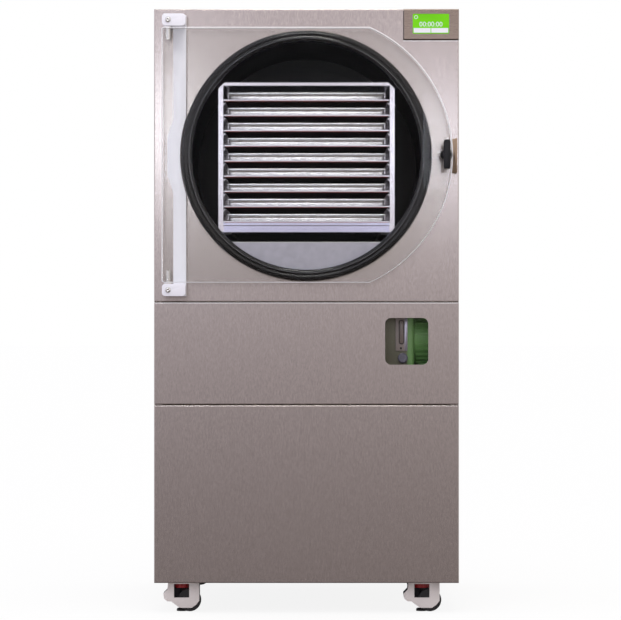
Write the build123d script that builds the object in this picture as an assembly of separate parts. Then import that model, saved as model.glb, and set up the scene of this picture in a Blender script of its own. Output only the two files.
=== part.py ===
from build123d import *
import math
import os

# ---------------------------------------------------------------------------------------------
# Driving dimensions, millimetres. +Z is up, the front faces -Y, +X is to the right from the front.
# The origin is on the floor, below the centre of everything, from latch handle to drain outlet.
# ---------------------------------------------------------------------------------------------

# Cabinet
cabinet_width = 762.0
cabinet_depth = 914.0
cabinet_bottom = 76.0
lower_seam_height = 521.5
upper_seam_height = 778.0
sheet = 1.5
panel_fold = 20.0
seam_gap = 2.0
fit_gap = 0.3
bend_radius = 2.5
cut_past = 1.0
base_pan_wall = 3.0
base_pan_rim = 40.0
deck_thickness = 3.0
deck_flange = 30.0
saddle_thickness = 5.0
saddle_height = 110.0
saddle_share = 0.8
front_saddle_setback = 212.0
rear_saddle_setback = 592.0

# Vacuum chamber, gasket and door
chamber_side_room = 85.0
chamber_wall = 3.0
chamber_depth = 705.0
chamber_back_wall = 12.0
chamber_stand_out = 31.0
flange_width = 10.0
flange_thickness = 4.0
weir_drop = 215.5
weir_thickness = 3.0
weir_setback = 8.0
gasket_stand_out = 35.0
gasket_outer_lap = 17.0
gasket_inner_lap = 12.0
gasket_inner_leg = 22.0
gasket_groove_shift = 2.0
gasket_groove_width = 3.0
gasket_groove_depth = 2.0
gasket_round = 2.5
insulation_thickness = 28.0
insulation_back = 28.0
insulation_lower_gap = 25.8
insulation_upper_gap = 27.8

door_thickness = 38.0
door_arc_offset = 17.0
door_side_margin = 33.0
door_top_margin = 3.5
door_left_margin = 46.0
door_corner_radius = 6.0
door_edge_chamfer = 1.5

hinge_edge_distance = 16.0
hinge_pin_radius = 5.0
hinge_pin_engagement = 30.0
hinge_collar_radius = 10.0
hinge_collar_height = 3.0
hinge_tab_width = 58.0
hinge_tab_height = 30.0
hinge_tab_overhang = 15.0
hinge_bar_width = 32.0
hinge_bar_thickness = 26.0
hinge_bow = 15.0
hinge_bow_half_length = 48.0
hinge_bow_run = 42.0
hinge_corner_radius = 8.0
hinge_screw_radius = 4.0
hinge_screw_length = 12.0
hinge_screw_head_radius = 7.5
hinge_screw_head_height = 4.5
press_gap = 0.03
running_clearance = 0.06

latch_edge_distance = 16.0
spindle_radius = 6.25
hub_radius = 15.5
hub_tip_radius = 11.2
hub_length = 20.0
grip_width = 17.0
grip_length = 72.0
grip_thickness = 16.0
grip_end_taper = 6.0
grip_chamfer = 2.1
cam_radius = 10.0
cam_reach = 24.5
cam_width = 12.0
cam_thickness = 6.0
cam_setback = 17.0
catch_height = 86.0
catch_sheet = 2.5
catch_lip = 6.5
catch_gap = 6.0
catch_stand_out = 30.0

# Rack, shelves, heater mats and trays
tray_count = 9
shelf_pitch = 38.1
first_shelf_rise = 27.5
shelf_thickness = 2.5
mat_thickness = 2.0
mat_inset = 6.0
rack_side_room = 75.0
rack_drop = 189.5
rack_rise = 185.5
rack_sheet = 1.5
rack_length = 620.0
rack_setback = 25.0
rack_corner = 15.0
rack_lip = 7.5
rack_flange = 12.0
rack_base_front = 24.0
rack_base_groove = 1.5
rack_groove_rise = 15.36
rail_thickness = 6.0
rail_width = 34.0
shelf_tab_length = 40.0
shelf_tab_reach = 2.0
shelf_tab_inset = 124.0
shelf_ear_width = 6.0
shelf_ear_reach = 1.5
tray_side_room = 23.5
tray_length = 600.0
tray_height = 18.0
tray_wall = 1.2
tray_rim_width = 5.0
tray_rim_height = 2.4
tray_rim_round = 1.1
tray_corner = 9.0

# Controls and window
control_width = 138.0
control_tall = 77.0
control_stand_out = 4.0
control_wall = 2.0
screen_inset = 70.0
screen_rise = 40.0
screen_width = 91.0
screen_tall = 50.0
module_border = 6.0
module_depth = 11.0
window_inset = 184.5
window_drop = 156.0
window_width = 108.0
window_tall = 117.0
window_corner = 15.0
pane_border = 12.0
pane_thickness = 4.0

# Vacuum pump
pump_setback = 55.0
pump_casing_inset = 197.0
pump_casing_width = 88.0
pump_casing_depth = 140.0
pump_casing_tall = 152.0
pump_casing_round = 10.0
pump_foot = 10.0
pump_shelf_drop = 178.0
pump_shelf_overhang = 34.0
pump_shelf_depth = 240.0
pump_plate_inset = 40.0
pump_plate_width = 30.0
pump_plate_rise = 46.0
pump_plate_thickness = 3.0
sight_slot_width = 14.0
sight_slot_tall = 62.0
sight_slot_rise = 16.0
sight_slot_depth = 2.0
motor_radius = 62.0
motor_length = 92.0
motor_gap = 4.0
motor_fin_count = 30
motor_fin_height = 7.0
motor_fin_thickness = 3.0
knob_inset = 58.0
knob_rise = 28.0
knob_radius = 12.5
knob_length = 14.0
knob_chamfer = 2.0
knob_stem_radius = 4.0
port_inset = 46.0
port_radius = 16.0
port_bore_radius = 14.0
port_above_seam = 72.0
hose_wall = 4.5
hose_overlap = 18.0

# Refrigeration
coil_tube_radius = 6.35
coil_turns = 4.5
coil_pitch = 106.0
coil_start = 170.0
suction_height = 400.0
liquid_height = 200.0
liquid_inset = 176.0
discharge_height = 360.0
discharge_tube_radius = 4.76
compressor_radius = 105.0
compressor_round = 47.0
compressor_height = 250.0
compressor_inset = 171.0
compressor_setback = 420.0
compressor_foot_height = 14.0
compressor_foot_radius = 11.0
compressor_foot_inset = 16.0
compressor_plate_reach = 110.0
compressor_plate_thickness = 4.0
compressor_stub_offset = 30.0
compressor_stub_reach = 30.0
terminal_box_reach = 34.0
terminal_box_width = 64.0
terminal_box_rise = 90.0
terminal_box_tall = 70.0
terminal_box_depth = 6.0
condenser_side_room = 151.0
condenser_tall = 300.0
condenser_depth = 80.0
condenser_fin_count = 24
condenser_fin_groove = 6.0
condenser_gap = 12.0
shroud_depth = 40.0
shroud_radius = 138.0
shroud_wall = 2.0
fan_radius = 130.0
fan_hub_radius = 32.0
fan_hub_recess = 4.0
fan_blade_count = 5
fan_blade_width = 70.0
fan_blade_thickness = 2.5
fan_blade_root = 6.0
fan_blade_round = 21.0
fan_blade_tilt = 28.0
fan_depth = 30.0
fan_shaft_radius = 4.0
fan_shaft_end_gap = 2.0
fan_motor_radius = 40.0
fan_motor_length = 70.0
spider_width = 14.0
spider_thickness = 3.0
spider_arms = 3

# Drain, power inlet and louvres
drain_setback = 680.0
drain_stub_radius = 8.0
drain_block = 40.0
drain_block_round = 4.0
drain_coil_radius = 17.0
drain_drop = 43.0
drain_tube_radius = 5.0
drain_outlet_radius = 6.35
drain_outlet_gap = 4.0
drain_outlet_reach = 30.0
inlet_inset = 91.0
inlet_height = 300.0
inlet_width = 50.0
inlet_tall = 36.0
inlet_flange = 8.0
inlet_flange_thickness = 3.0
inlet_depth = 32.0
inlet_floor = 4.0
inlet_recess_width = 30.0
inlet_recess_tall = 20.0
inlet_blade_length = 14.0
inlet_blade_size = (2.0, 6.0)
inlet_blade_places = [(-8.0, -3.0), (0.0, 4.0), (8.0, -3.0)]
louvre_count = 14
louvre_pitch = 20.0
louvre_length = 190.0
louvre_middle = 114.0
louvre_height = 8.0
louvre_bottom = 140.0

# Casters with a levelling foot
caster_inset = 79.0
caster_setback = 70.0
caster_plate = 72.0
caster_plate_thickness = 3.0
kingpin_radius = 8.0
caster_half_width = 27.0
caster_cheek = 3.5
caster_left_reach = 58.0
caster_right_reach = 32.5
caster_bridge = 4.0
caster_bottom = 10.0
caster_inner_start = 16.0
caster_top_outline = [(12.0, 0.0), (10.0, -18.0), (0.0, -28.0)]
caster_tail_outline = [(2.0, 23.0), (10.0, 16.5), (20.0, 16.0), (40.0, 1.0), (46.0, 0.0)]
caster_nose_outline = [(-19.0, 0.0), (-8.0, 8.0), (0.0, 18.0)]
caster_window_width = 38.0
caster_window_bottom = 36.0
caster_rear_window_bottom = 56.5
rivet_radius = 2.5
rivet_proud = 1.5
rivet_inset = 9.0
rivet_rise = 23.0
wheel_radius = 29.0
wheel_width = 14.0
wheel_offset = 8.0
wheel_side = -15.5
wheel_lift = 1.0
wheel_round = 2.0
axle_radius = 4.0
foot_offset = -12.0
foot_side = 6.0
foot_radius = 13.5
foot_height = 7.0
foot_chamfer = 2.0
stem_radius = 5.0
stem_top = 68.0
thumbwheel_radius = 23.0
thumbwheel_height = 10.0
thumbwheel_bottom = 59.5
thumbwheel_notches = 16
thumbwheel_notch_radius = 1.6

# ---------------------------------------------------------------------------------------------
# Planes and places that follow from the sizes above.
# ---------------------------------------------------------------------------------------------
door_back_gap = gasket_stand_out + fit_gap
door_front_gap = door_back_gap + door_thickness
front_projection = door_front_gap + hub_length + grip_thickness
overall_depth = front_projection + cabinet_depth + drain_outlet_reach
front = -overall_depth / 2 + front_projection
back = front + cabinet_depth
half_width = cabinet_width / 2
seam_plane = front + panel_fold + fit_gap
chamber_radius = half_width - chamber_side_room
chamber_outer = chamber_radius + chamber_wall
insulation_inner = chamber_outer + 2 * coil_tube_radius + fit_gap
insulation_outer = chamber_outer + insulation_thickness + 2 * coil_tube_radius
chamber_height = upper_seam_height + insulation_outer + insulation_lower_gap
cabinet_top = chamber_height + insulation_outer + insulation_upper_gap
weir_top = chamber_height - weir_drop
gasket_outer_radius = chamber_radius + gasket_outer_lap
gasket_inner_radius = chamber_radius - gasket_inner_lap
gasket_groove_radius = chamber_radius + gasket_groove_shift
door_radius = gasket_outer_radius + door_side_margin
door_right_reach = door_arc_offset + door_radius
door_left_reach = gasket_outer_radius + door_left_margin
door_half_height = gasket_outer_radius + door_top_margin
hinge_offset = door_left_reach - hinge_edge_distance
latch_offset = door_right_reach - latch_edge_distance
catch_offset = door_right_reach + catch_gap
rack_width = 2 * (chamber_radius - rack_side_room)
rack_bottom = chamber_height - rack_drop
rack_top = chamber_height + rack_rise
lowest_shelf_height = rack_bottom + first_shelf_rise
tray_width = rack_width - 2 * tray_side_room
control_left = half_width - control_width
control_bottom = cabinet_top - control_tall
screen_offset = half_width - screen_inset
screen_height = control_bottom + screen_rise
window_left = half_width - window_inset
window_bottom = upper_seam_height - window_drop
flange_front = front - chamber_stand_out
deck_top = upper_seam_height + deck_thickness / 2
saddle_places = (front + front_saddle_setback, front + rear_saddle_setback)
shelf_heights = [lowest_shelf_height + n * shelf_pitch for n in range(tray_count)]
rack_front = front + rack_setback
rack_back = rack_front + rack_length
hinge_axis_y = front - door_back_gap - door_thickness / 2
tab_front = front - door_front_gap
caster_offset = half_width - caster_inset
caster_places = [
    ("front_left", -caster_offset, front + caster_setback),
    ("front_right", caster_offset, front + caster_setback),
    ("rear_left", -caster_offset, back - caster_setback),
    ("rear_right", caster_offset, back - caster_setback),
]
caster_plate_bottom = cabinet_bottom + sheet - caster_plate_thickness
caster_bridge_top = caster_plate_bottom - fit_gap
caster_bridge_bottom = caster_bridge_top - caster_bridge
pump_front = front + pump_setback
pump_shelf_height = upper_seam_height - pump_shelf_drop
pump_bottom = pump_shelf_height + pump_foot
pump_casing_left = half_width - pump_casing_inset
pump_shelf_left = pump_casing_left - pump_shelf_overhang
pump_plate_left = pump_casing_left + pump_plate_inset
pump_plate_bottom = pump_bottom + pump_plate_rise
sight_slot_bottom = pump_plate_bottom + sight_slot_rise
knob_offset = pump_casing_left + knob_inset
knob_height = pump_bottom + knob_rise
port_offset = pump_casing_left + port_inset
port_drop = upper_seam_height + port_above_seam
pump_top = pump_bottom + pump_casing_tall
pump_middle_y = pump_front + pump_casing_depth / 2
pump_casing_right = pump_casing_left + pump_casing_width
motor_height = pump_bottom + pump_casing_tall / 2
liquid_offset = half_width - liquid_inset
compressor_offset = compressor_inset - half_width
condenser_width = cabinet_width - 2 * condenser_side_room
condenser_bottom = cabinet_bottom + sheet + base_pan_wall
condenser_back = back - 2 * sheet - condenser_gap
condenser_front = condenser_back - condenser_depth
fan_height = condenser_bottom + condenser_tall / 2
fan_middle_y = condenser_front - shroud_depth / 2
drain_y = front + drain_setback
drain_height = upper_seam_height - drain_drop
inlet_offset = half_width - inlet_inset


# ---------------------------------------------------------------------------------------------
# Building blocks
# ---------------------------------------------------------------------------------------------
def slab(x, y, z):
    """A box given by its low and high ends along each axis."""
    middle = Pos((x[0] + x[1]) / 2, (y[0] + y[1]) / 2, (z[0] + z[1]) / 2)
    return middle * Box(x[1] - x[0], y[1] - y[0], z[1] - z[0])


def pan(x, y, z, wall, open_side):
    """A folded sheet pan: a box that is open on one side, such as '+y'."""
    inside = {axis: [span[0] + wall, span[1] - wall] for axis, span in (("x", x), ("y", y), ("z", z))}
    end = 1 if open_side[0] == "+" else 0
    inside[open_side[1]][end] += 2 * wall if end else -2 * wall
    return slab(x, y, z) - slab(inside["x"], inside["y"], inside["z"])


def rod_x(radius, x, y, z):
    """A cylinder along X from x[0] to x[1]."""
    return Pos((x[0] + x[1]) / 2, y, z) * Rot(0, 90, 0) * Cylinder(radius, x[1] - x[0])


def rod_y(radius, x, y, z):
    """A cylinder along Y from y[0] to y[1]."""
    return Pos(x, (y[0] + y[1]) / 2, z) * Rot(90, 0, 0) * Cylinder(radius, y[1] - y[0])


def rod_z(radius, x, y, z):
    """A cylinder along Z from z[0] to z[1]."""
    return Pos(x, y, (z[0] + z[1]) / 2) * Cylinder(radius, z[1] - z[0])


def rounded_slab(x, y, z, radius):
    """A plate lying across Y whose outline has round corners."""
    sketch = RectangleRounded(x[1] - x[0], z[1] - z[0], radius)
    plate = extrude(sketch, (y[1] - y[0]) / 2, both=True)
    return Pos((x[0] + x[1]) / 2, (y[0] + y[1]) / 2, (z[0] + z[1]) / 2) * Rot(90, 0, 0) * plate


def plate_across_y(points, y):
    """A plate whose outline is a list of (x, z) points, from y[0] to y[1]."""
    outline = make_face(Polyline([(px, pz) for px, pz in points], close=True))
    return Pos(0, y[1], 0) * Rot(90, 0, 0) * extrude(outline, y[1] - y[0])


def turned(points):
    """A ring turned about the chamber's axis from a list of (radius, y) points."""
    return Pos(0, 0, chamber_height) * revolve(make_face(Polyline(points, close=True)), Axis.Y)


def front_pan(z):
    """One of the folded front panels, with its bends rounded."""
    x = (-half_width, half_width)
    y = (front, front + panel_fold)
    body = pan(x, y, z, sheet, "+y")
    face_edges = body.faces().sort_by(Axis.Y)[0].outer_wire().edges()
    return fillet(face_edges, bend_radius)


# ---------------------------------------------------------------------------------------------
# Cabinet
# ---------------------------------------------------------------------------------------------
def make_base_pan():
    """Floor pan with the four caster plates and their kingpins welded under it."""
    x = (-half_width + sheet, half_width - sheet)
    y = (seam_plane + sheet, back - 2 * sheet)
    floor = cabinet_bottom + sheet
    body = pan(x, y, (floor, floor + base_pan_rim), base_pan_wall, "+z")
    half = caster_plate / 2
    for _, middle_x, middle_y in caster_places:
        plate_x = (middle_x - half, middle_x + half)
        plate_y = (middle_y - half, middle_y + half)
        body += slab(plate_x, plate_y, (caster_plate_bottom, floor))
        body += rod_z(kingpin_radius, middle_x, middle_y, (caster_bridge_bottom, floor))
    return body


def make_side_panel(side):
    outer, inner = side * half_width, side * (half_width - panel_fold)
    x = (min(outer, inner), max(outer, inner))
    y = (seam_plane, back - sheet)
    z = (cabinet_bottom, cabinet_top - panel_fold - fit_gap)
    return pan(x, y, z, sheet, "-x" if side > 0 else "+x")


def make_top_panel():
    x = (-half_width, half_width)
    body = pan(x, (seam_plane, back), (cabinet_top - panel_fold, cabinet_top), sheet, "-z")
    face_edges = body.faces().sort_by(Axis.Z)[-1].outer_wire().edges()
    return fillet(face_edges, bend_radius)


def make_back_panel():
    x = (-half_width + sheet, half_width - sheet)
    z = (cabinet_bottom + sheet, cabinet_top - panel_fold - fit_gap)
    y = (back - sheet, back)
    body = slab(x, y, z)
    through = (back - 2 * sheet, back + sheet)
    for row in range(louvre_count):
        height = louvre_bottom + row * louvre_pitch
        for middle in (-louvre_middle, louvre_middle):
            ends = (middle - louvre_length / 2, middle + louvre_length / 2)
            body -= rounded_slab(ends, through, (height, height + louvre_height), louvre_height / 2 - fit_gap)
    inlet_x = (inlet_offset - inlet_width / 2 - fit_gap, inlet_offset + inlet_width / 2 + fit_gap)
    inlet_z = (inlet_height - inlet_tall / 2 - fit_gap, inlet_height + inlet_tall / 2 + fit_gap)
    body -= slab(inlet_x, through, inlet_z)
    return body - rod_y(drain_tube_radius + fit_gap, 0, through, drain_height)


def make_upper_front_panel():
    body = front_pan((upper_seam_height + seam_gap / 2, cabinet_top))
    through = (front - sheet, front + panel_fold + sheet)
    body -= rod_y(chamber_outer + seam_gap, 0, through, chamber_height)
    notch_x = (control_left - fit_gap, half_width + sheet)
    return body - slab(notch_x, through, (control_bottom - seam_gap / 2, cabinet_top + sheet))


def make_middle_front_panel():
    body = front_pan((lower_seam_height + seam_gap / 2, upper_seam_height - seam_gap / 2))
    window_x = (window_left, window_left + window_width)
    window_z = (window_bottom, window_bottom + window_tall)
    return body - rounded_slab(window_x, (front - sheet, front + 2 * sheet), window_z, window_corner)


def make_lower_front_panel():
    return front_pan((cabinet_bottom, lower_seam_height - seam_gap / 2))


def make_window_pane():
    x = (window_left - pane_border, window_left + window_width + pane_border)
    z = (window_bottom - pane_border, window_bottom + window_tall + pane_border)
    return rounded_slab(x, (front + sheet, front + sheet + pane_thickness), z, window_corner)


def make_equipment_deck():
    """The welded deck: chamber saddles above it, and the hanging pump shelf below it."""
    x = (-half_width + sheet, half_width - sheet)
    y = (seam_plane + sheet, back - 2 * sheet)
    body = pan(x, y, (deck_top - deck_flange, deck_top), deck_thickness, "-z")
    reach = half_width * saddle_share
    for y_middle in saddle_places:
        ends = (y_middle - saddle_thickness / 2, y_middle + saddle_thickness / 2)
        saddle = slab((-reach, reach), ends, (deck_top, deck_top + saddle_height))
        through = (ends[0] - cut_past, ends[1] + cut_past)
        body += saddle - rod_y(insulation_outer + fit_gap, 0, through, chamber_height)
    shelf_x = (pump_shelf_left, half_width - panel_fold)
    shelf_y = (pump_front - pump_foot, pump_front - pump_foot + pump_shelf_depth)
    shelf_z = (pump_shelf_height - deck_thickness, pump_shelf_height)
    body += slab(shelf_x, shelf_y, shelf_z)
    hanger_z = (pump_shelf_height, deck_top - deck_thickness)
    body += slab((pump_shelf_left, pump_shelf_left + deck_thickness), shelf_y, hanger_z)
    body += slab(shelf_x, (shelf_y[1] - deck_thickness, shelf_y[1]), hanger_z)
    hose_radius = port_radius + hose_wall + seam_gap
    hole_z = (deck_top - 2 * deck_thickness, deck_top + saddle_height)
    body -= rod_z(hose_radius, port_offset, pump_middle_y, hole_z)
    body -= rod_z(drain_stub_radius + seam_gap, 0, drain_y, hole_z)
    for tail_side, tail_y in coil_tail_places():
        body -= rod_z(coil_tube_radius + seam_gap, tail_side, tail_y, hole_z)
    return body


# ---------------------------------------------------------------------------------------------
# Vacuum chamber
# ---------------------------------------------------------------------------------------------
def make_vacuum_chamber():
    """Welded steel drum with a front flange, a weir, two rack rails, a vacuum port and a drain stub."""
    y_back = front + chamber_depth
    body = rod_y(chamber_outer, 0, (flange_front, y_back + chamber_back_wall), chamber_height)
    flange_y = (flange_front, flange_front + flange_thickness)
    body += rod_y(chamber_outer + flange_width, 0, flange_y, chamber_height)
    port_z = (port_drop, chamber_height - math.sqrt(chamber_radius**2 - port_offset**2))
    body += rod_z(port_radius, port_offset, pump_middle_y, port_z)
    stub_z = (drain_height + drain_block / 2, chamber_height - chamber_radius)
    body += rod_z(drain_stub_radius, 0, drain_y, stub_z)
    bore = rod_y(chamber_radius, 0, (flange_front - cut_past, y_back), chamber_height)
    body -= bore
    port_bore_z = (port_drop - cut_past, port_z[1] + 2 * chamber_wall)
    body -= rod_z(port_bore_radius, port_offset, pump_middle_y, port_bore_z)
    drain_z = (drain_height, chamber_height - chamber_radius + chamber_wall)
    body -= rod_z(drain_stub_radius - 2 * sheet, 0, drain_y, drain_z)
    disc_y = (front + weir_setback, front + weir_setback + weir_thickness)
    weir_box = slab((-chamber_radius, chamber_radius), disc_y, (chamber_height - chamber_outer, weir_top))
    body += weir_box & rod_y(chamber_radius + sheet, 0, disc_y, chamber_height)
    rail_y = (rack_front, y_back)
    rail_z = (rack_bottom - rail_thickness, rack_bottom)
    wall_x = chamber_radius
    for side in (-1, 1):
        ends = sorted((side * (rack_width / 2 - rail_width), side * wall_x))
        body += slab(ends, rail_y, rail_z) & rod_y(chamber_radius + sheet, 0, rail_y, chamber_height)
    return body


def make_door_gasket():
    """Rubber channel that straddles the chamber's flange, with a sealing bead at the front."""
    y_front = front - gasket_stand_out
    leg_outer = chamber_outer + flange_width + fit_gap
    leg_inner = chamber_radius - fit_gap
    outline = [
        (gasket_outer_radius, front),
        (gasket_outer_radius, y_front),
        (gasket_groove_radius + gasket_groove_width, y_front),
        (gasket_groove_radius, y_front + gasket_groove_depth),
        (gasket_groove_radius - gasket_groove_width, y_front),
        (gasket_inner_radius, y_front),
        (gasket_inner_radius, y_front + gasket_inner_leg),
        (leg_inner, y_front + gasket_inner_leg),
        (leg_inner, flange_front - fit_gap),
        (leg_outer, flange_front - fit_gap),
        (leg_outer, front),
    ]
    body = turned(outline)
    circles = body.edges().filter_by(GeomType.CIRCLE)
    rims = circles.filter_by_position(Axis.Y, y_front - fit_gap, y_front + fit_gap)
    outer_rim = [rim for rim in rims if rim.radius > gasket_outer_radius - cut_past]
    inner_rim = [rim for rim in rims if rim.radius < gasket_inner_radius + cut_past]
    return fillet(outer_rim + inner_rim, gasket_round)


def make_chamber_insulation():
    """Foam jacket round the drum and its cold coil, with chases for the pipes."""
    y_start = front + sheet + fit_gap
    y_back = front + chamber_depth + chamber_back_wall
    body = rod_y(insulation_outer, 0, (y_start, y_back + insulation_back), chamber_height)
    body -= rod_y(insulation_inner, 0, (y_start - cut_past, y_back), chamber_height)
    below = (chamber_height - insulation_outer - cut_past, chamber_height)
    body -= rod_z(port_radius + fit_gap, port_offset, pump_middle_y, below)
    body -= rod_z(drain_stub_radius + fit_gap, 0, drain_y, below)
    chase = coil_tube_radius + fit_gap
    for tail_x, tail_y in coil_tail_places():
        ends = sorted((tail_x - math.copysign(chase, tail_x), math.copysign(insulation_outer, tail_x)))
        chase_z = (chamber_height - insulation_outer, chamber_height + chase)
        body -= slab(ends, (tail_y - chase, tail_y + chase), chase_z)
    return body


def coil_tail_places():
    """Where the coil's two ends run down, at the chamber's left and right sides, as (x, y)."""
    radius = chamber_outer + coil_tube_radius + fit_gap / 2
    return [(-radius, front + coil_start), (radius, front + coil_start + coil_turns * coil_pitch)]


def bent_tube(radius, points):
    """A tube of straight runs with ball corners, through a list of (x, y, z) points."""
    body = None
    for start, end in zip(points, points[1:]):
        run = Solid.make_cylinder(radius, (Vector(*end) - Vector(*start)).length,
                                  Plane(origin=start, z_dir=Vector(*end) - Vector(*start)))
        body = run if body is None else body + run
    for corner in points[1:-1]:
        body += Pos(*corner) * Sphere(radius)
    return body


def make_evaporator_coil():
    """Copper tube wound round the drum, its suction line to the compressor and its line to the condenser."""
    first, last = coil_tail_places()
    radius = last[0]
    path = Helix(pitch=coil_pitch, height=coil_turns * coil_pitch, radius=radius)
    section = Plane(origin=path @ 0, z_dir=path % 0) * Circle(coil_tube_radius)
    coil = Pos(0, first[1], chamber_height) * Rot(-90, 0, 0) * Rot(0, 0, 180) * sweep(section, path)
    line_top = chamber_height - 2 * fit_gap
    stub_x, stub_y, stub_top = suction_stub_place()
    suction_line = bent_tube(coil_tube_radius, [
        (first[0], first[1], line_top),
        (first[0], first[1], suction_height),
        (first[0], stub_y, suction_height),
        (stub_x, stub_y, suction_height),
        (stub_x, stub_y, stub_top),
    ])
    liquid_line = bent_tube(coil_tube_radius, [
        (last[0], last[1], line_top),
        (last[0], last[1], liquid_height),
        (liquid_offset, last[1], liquid_height),
        (liquid_offset, condenser_front, liquid_height),
    ])
    return Compound(children=[coil, suction_line, liquid_line])


# ---------------------------------------------------------------------------------------------
# Door, hinge and latch
# ---------------------------------------------------------------------------------------------
def make_door():
    y = (front - door_front_gap, front - door_back_gap)
    z = (chamber_height - door_half_height, chamber_height + door_half_height)
    left = slab((-door_left_reach, 0), y, z)
    left = fillet(left.edges().filter_by(Axis.Y).sort_by(Axis.X)[:2], door_corner_radius)
    right = rod_y(door_radius, door_arc_offset, y, chamber_height) & slab((0, door_right_reach), y, z)
    body = left + right
    rims = body.faces().filter_by(Axis.Y)
    body = chamfer([edge for face in rims for edge in face.outer_wire().edges()], door_edge_chamfer)
    bore = hinge_pin_radius + running_clearance
    depth = hinge_pin_engagement + hinge_collar_height
    body -= rod_z(bore, -hinge_offset, hinge_axis_y, (z[0], z[0] + depth))
    body -= rod_z(bore, -hinge_offset, hinge_axis_y, (z[1] - depth, z[1]))
    through = (y[0] - cut_past, y[1] + cut_past)
    return body - rod_y(spindle_radius + running_clearance, latch_offset, through, chamber_height)


def hinge_tab_heights():
    """The low and high ends of the hinge's upper and lower tabs."""
    gap = door_half_height + hinge_collar_height + 2 * fit_gap
    upper = (chamber_height + gap, chamber_height + gap + hinge_tab_height)
    lower = (chamber_height - gap - hinge_tab_height, chamber_height - gap)
    return lower, upper


def make_hinge_bar():
    """White bar behind the door's edge, bowed round the gasket, with a tab at each end for the door."""
    lower, upper = hinge_tab_heights()
    right = -hinge_offset - hinge_tab_overhang + hinge_tab_width
    left = right - hinge_bar_width
    bow_end = hinge_bow_half_length + hinge_bow_run
    outline = [
        (right, lower[0]),
        (right, upper[1]),
        (left, upper[1]),
        (left, chamber_height + bow_end),
        (left - hinge_bow, chamber_height + hinge_bow_half_length),
        (left - hinge_bow, chamber_height - hinge_bow_half_length),
        (left, chamber_height - bow_end),
        (left, lower[0]),
    ]
    body = plate_across_y(outline, (front - hinge_bar_thickness, front))
    bends = body.edges().filter_by(Axis.Y).filter_by_position(Axis.Z, lower[1], upper[0])
    body = fillet(bends, hinge_bow_run)
    through = (front - hinge_bar_thickness - cut_past, front + cut_past)
    body -= rod_y(gasket_outer_radius + seam_gap, 0, through, chamber_height)
    for z, pin_z in ((lower, (lower[0] + hinge_tab_overhang, lower[1] + cut_past)),
                     (upper, (upper[0] - cut_past, upper[1] - hinge_tab_overhang))):
        tab = slab((right - hinge_tab_width, right), (tab_front, front), z)
        tab = fillet(tab.edges().filter_by(Axis.Y), hinge_corner_radius)
        tab -= rod_z(hinge_pin_radius + press_gap, -hinge_offset, hinge_axis_y, pin_z)
        middle = (z[0] + z[1]) / 2
        screw_y = (tab_front - cut_past, tab_front + hinge_screw_length)
        tab -= rod_y(hinge_screw_radius + press_gap, -hinge_offset, screw_y, middle)
        body += tab
    return body


def make_hinge_pins():
    lower, upper = hinge_tab_heights()
    seat = hinge_tab_height - hinge_tab_overhang
    pins = []
    for tab_face, direction in ((lower[1], 1), (upper[0], -1)):
        tip = tab_face + direction * (hinge_collar_height + hinge_pin_engagement)
        ends = sorted((tab_face - direction * seat, tip))
        pin = rod_z(hinge_pin_radius, -hinge_offset, hinge_axis_y, ends)
        collar = sorted((tab_face, tab_face + direction * hinge_collar_height))
        pins.append(pin + rod_z(hinge_collar_radius, -hinge_offset, hinge_axis_y, collar))
    return Compound(children=pins)


def make_hinge_screws():
    screws = []
    for z in hinge_tab_heights():
        middle = (z[0] + z[1]) / 2
        shank_y = (tab_front - cut_past, tab_front + hinge_screw_length - cut_past)
        head_y = (tab_front - hinge_screw_head_height, tab_front)
        shank = rod_y(hinge_screw_radius, -hinge_offset, shank_y, middle)
        head = rod_y(hinge_screw_head_radius, -hinge_offset, head_y, middle)
        crown = head.edges().filter_by(GeomType.CIRCLE).sort_by(Axis.Y)[0]
        head = fillet(crown, hinge_screw_head_height - cut_past)
        screws.append(shank + head)
    return Compound(children=screws)


def make_latch_handle():
    """T-handle on its spindle, which ends in a cam behind the door."""
    door_face = front - door_front_gap
    grip_back = door_face - hub_length
    half = grip_length / 2
    taper = grip_width / 2 - grip_chamfer
    outline = [
        (latch_offset + x, chamber_height + z)
        for x, z in (
            (-taper, -half), (taper, -half), (grip_width / 2, -half + grip_end_taper),
            (grip_width / 2, half - grip_end_taper), (taper, half), (-taper, half),
            (-grip_width / 2, half - grip_end_taper), (-grip_width / 2, -half + grip_end_taper),
        )
    ]
    grip = plate_across_y(outline, (grip_back - grip_thickness, grip_back))
    grip = chamfer(grip.faces().sort_by(Axis.Y)[0].outer_wire().edges(), grip_chamfer)
    hub = Pos(latch_offset, door_face - hub_length / 2 - fit_gap / 2, chamber_height) * Rot(90, 0, 0) * Cone(
        hub_radius, hub_tip_radius, hub_length - fit_gap)
    cam_y = (front - cam_setback - cam_thickness, front - cam_setback)
    spindle = rod_y(spindle_radius, latch_offset, (grip_back - cut_past, cam_y[1]), chamber_height)
    cam = rod_y(cam_radius, latch_offset, cam_y, chamber_height)
    cam_x = (latch_offset - cam_width / 2, latch_offset + cam_width / 2)
    cam += slab(cam_x, cam_y, (chamber_height, chamber_height + cam_reach))
    return grip + hub + spindle + cam


def make_latch_catch():
    """Folded strip beside the door; the cam turns in behind its lip."""
    z = (chamber_height - catch_height / 2, chamber_height + catch_height / 2)
    x = (catch_offset, catch_offset + catch_lip)
    y_front = front - catch_stand_out
    body = slab(x, (y_front, y_front + catch_sheet), z)
    body += slab((x[1] - catch_sheet, x[1]), (y_front, front), z)
    return body + slab((x[0] - catch_lip, x[1]), (front - catch_sheet, front), z)


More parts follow.
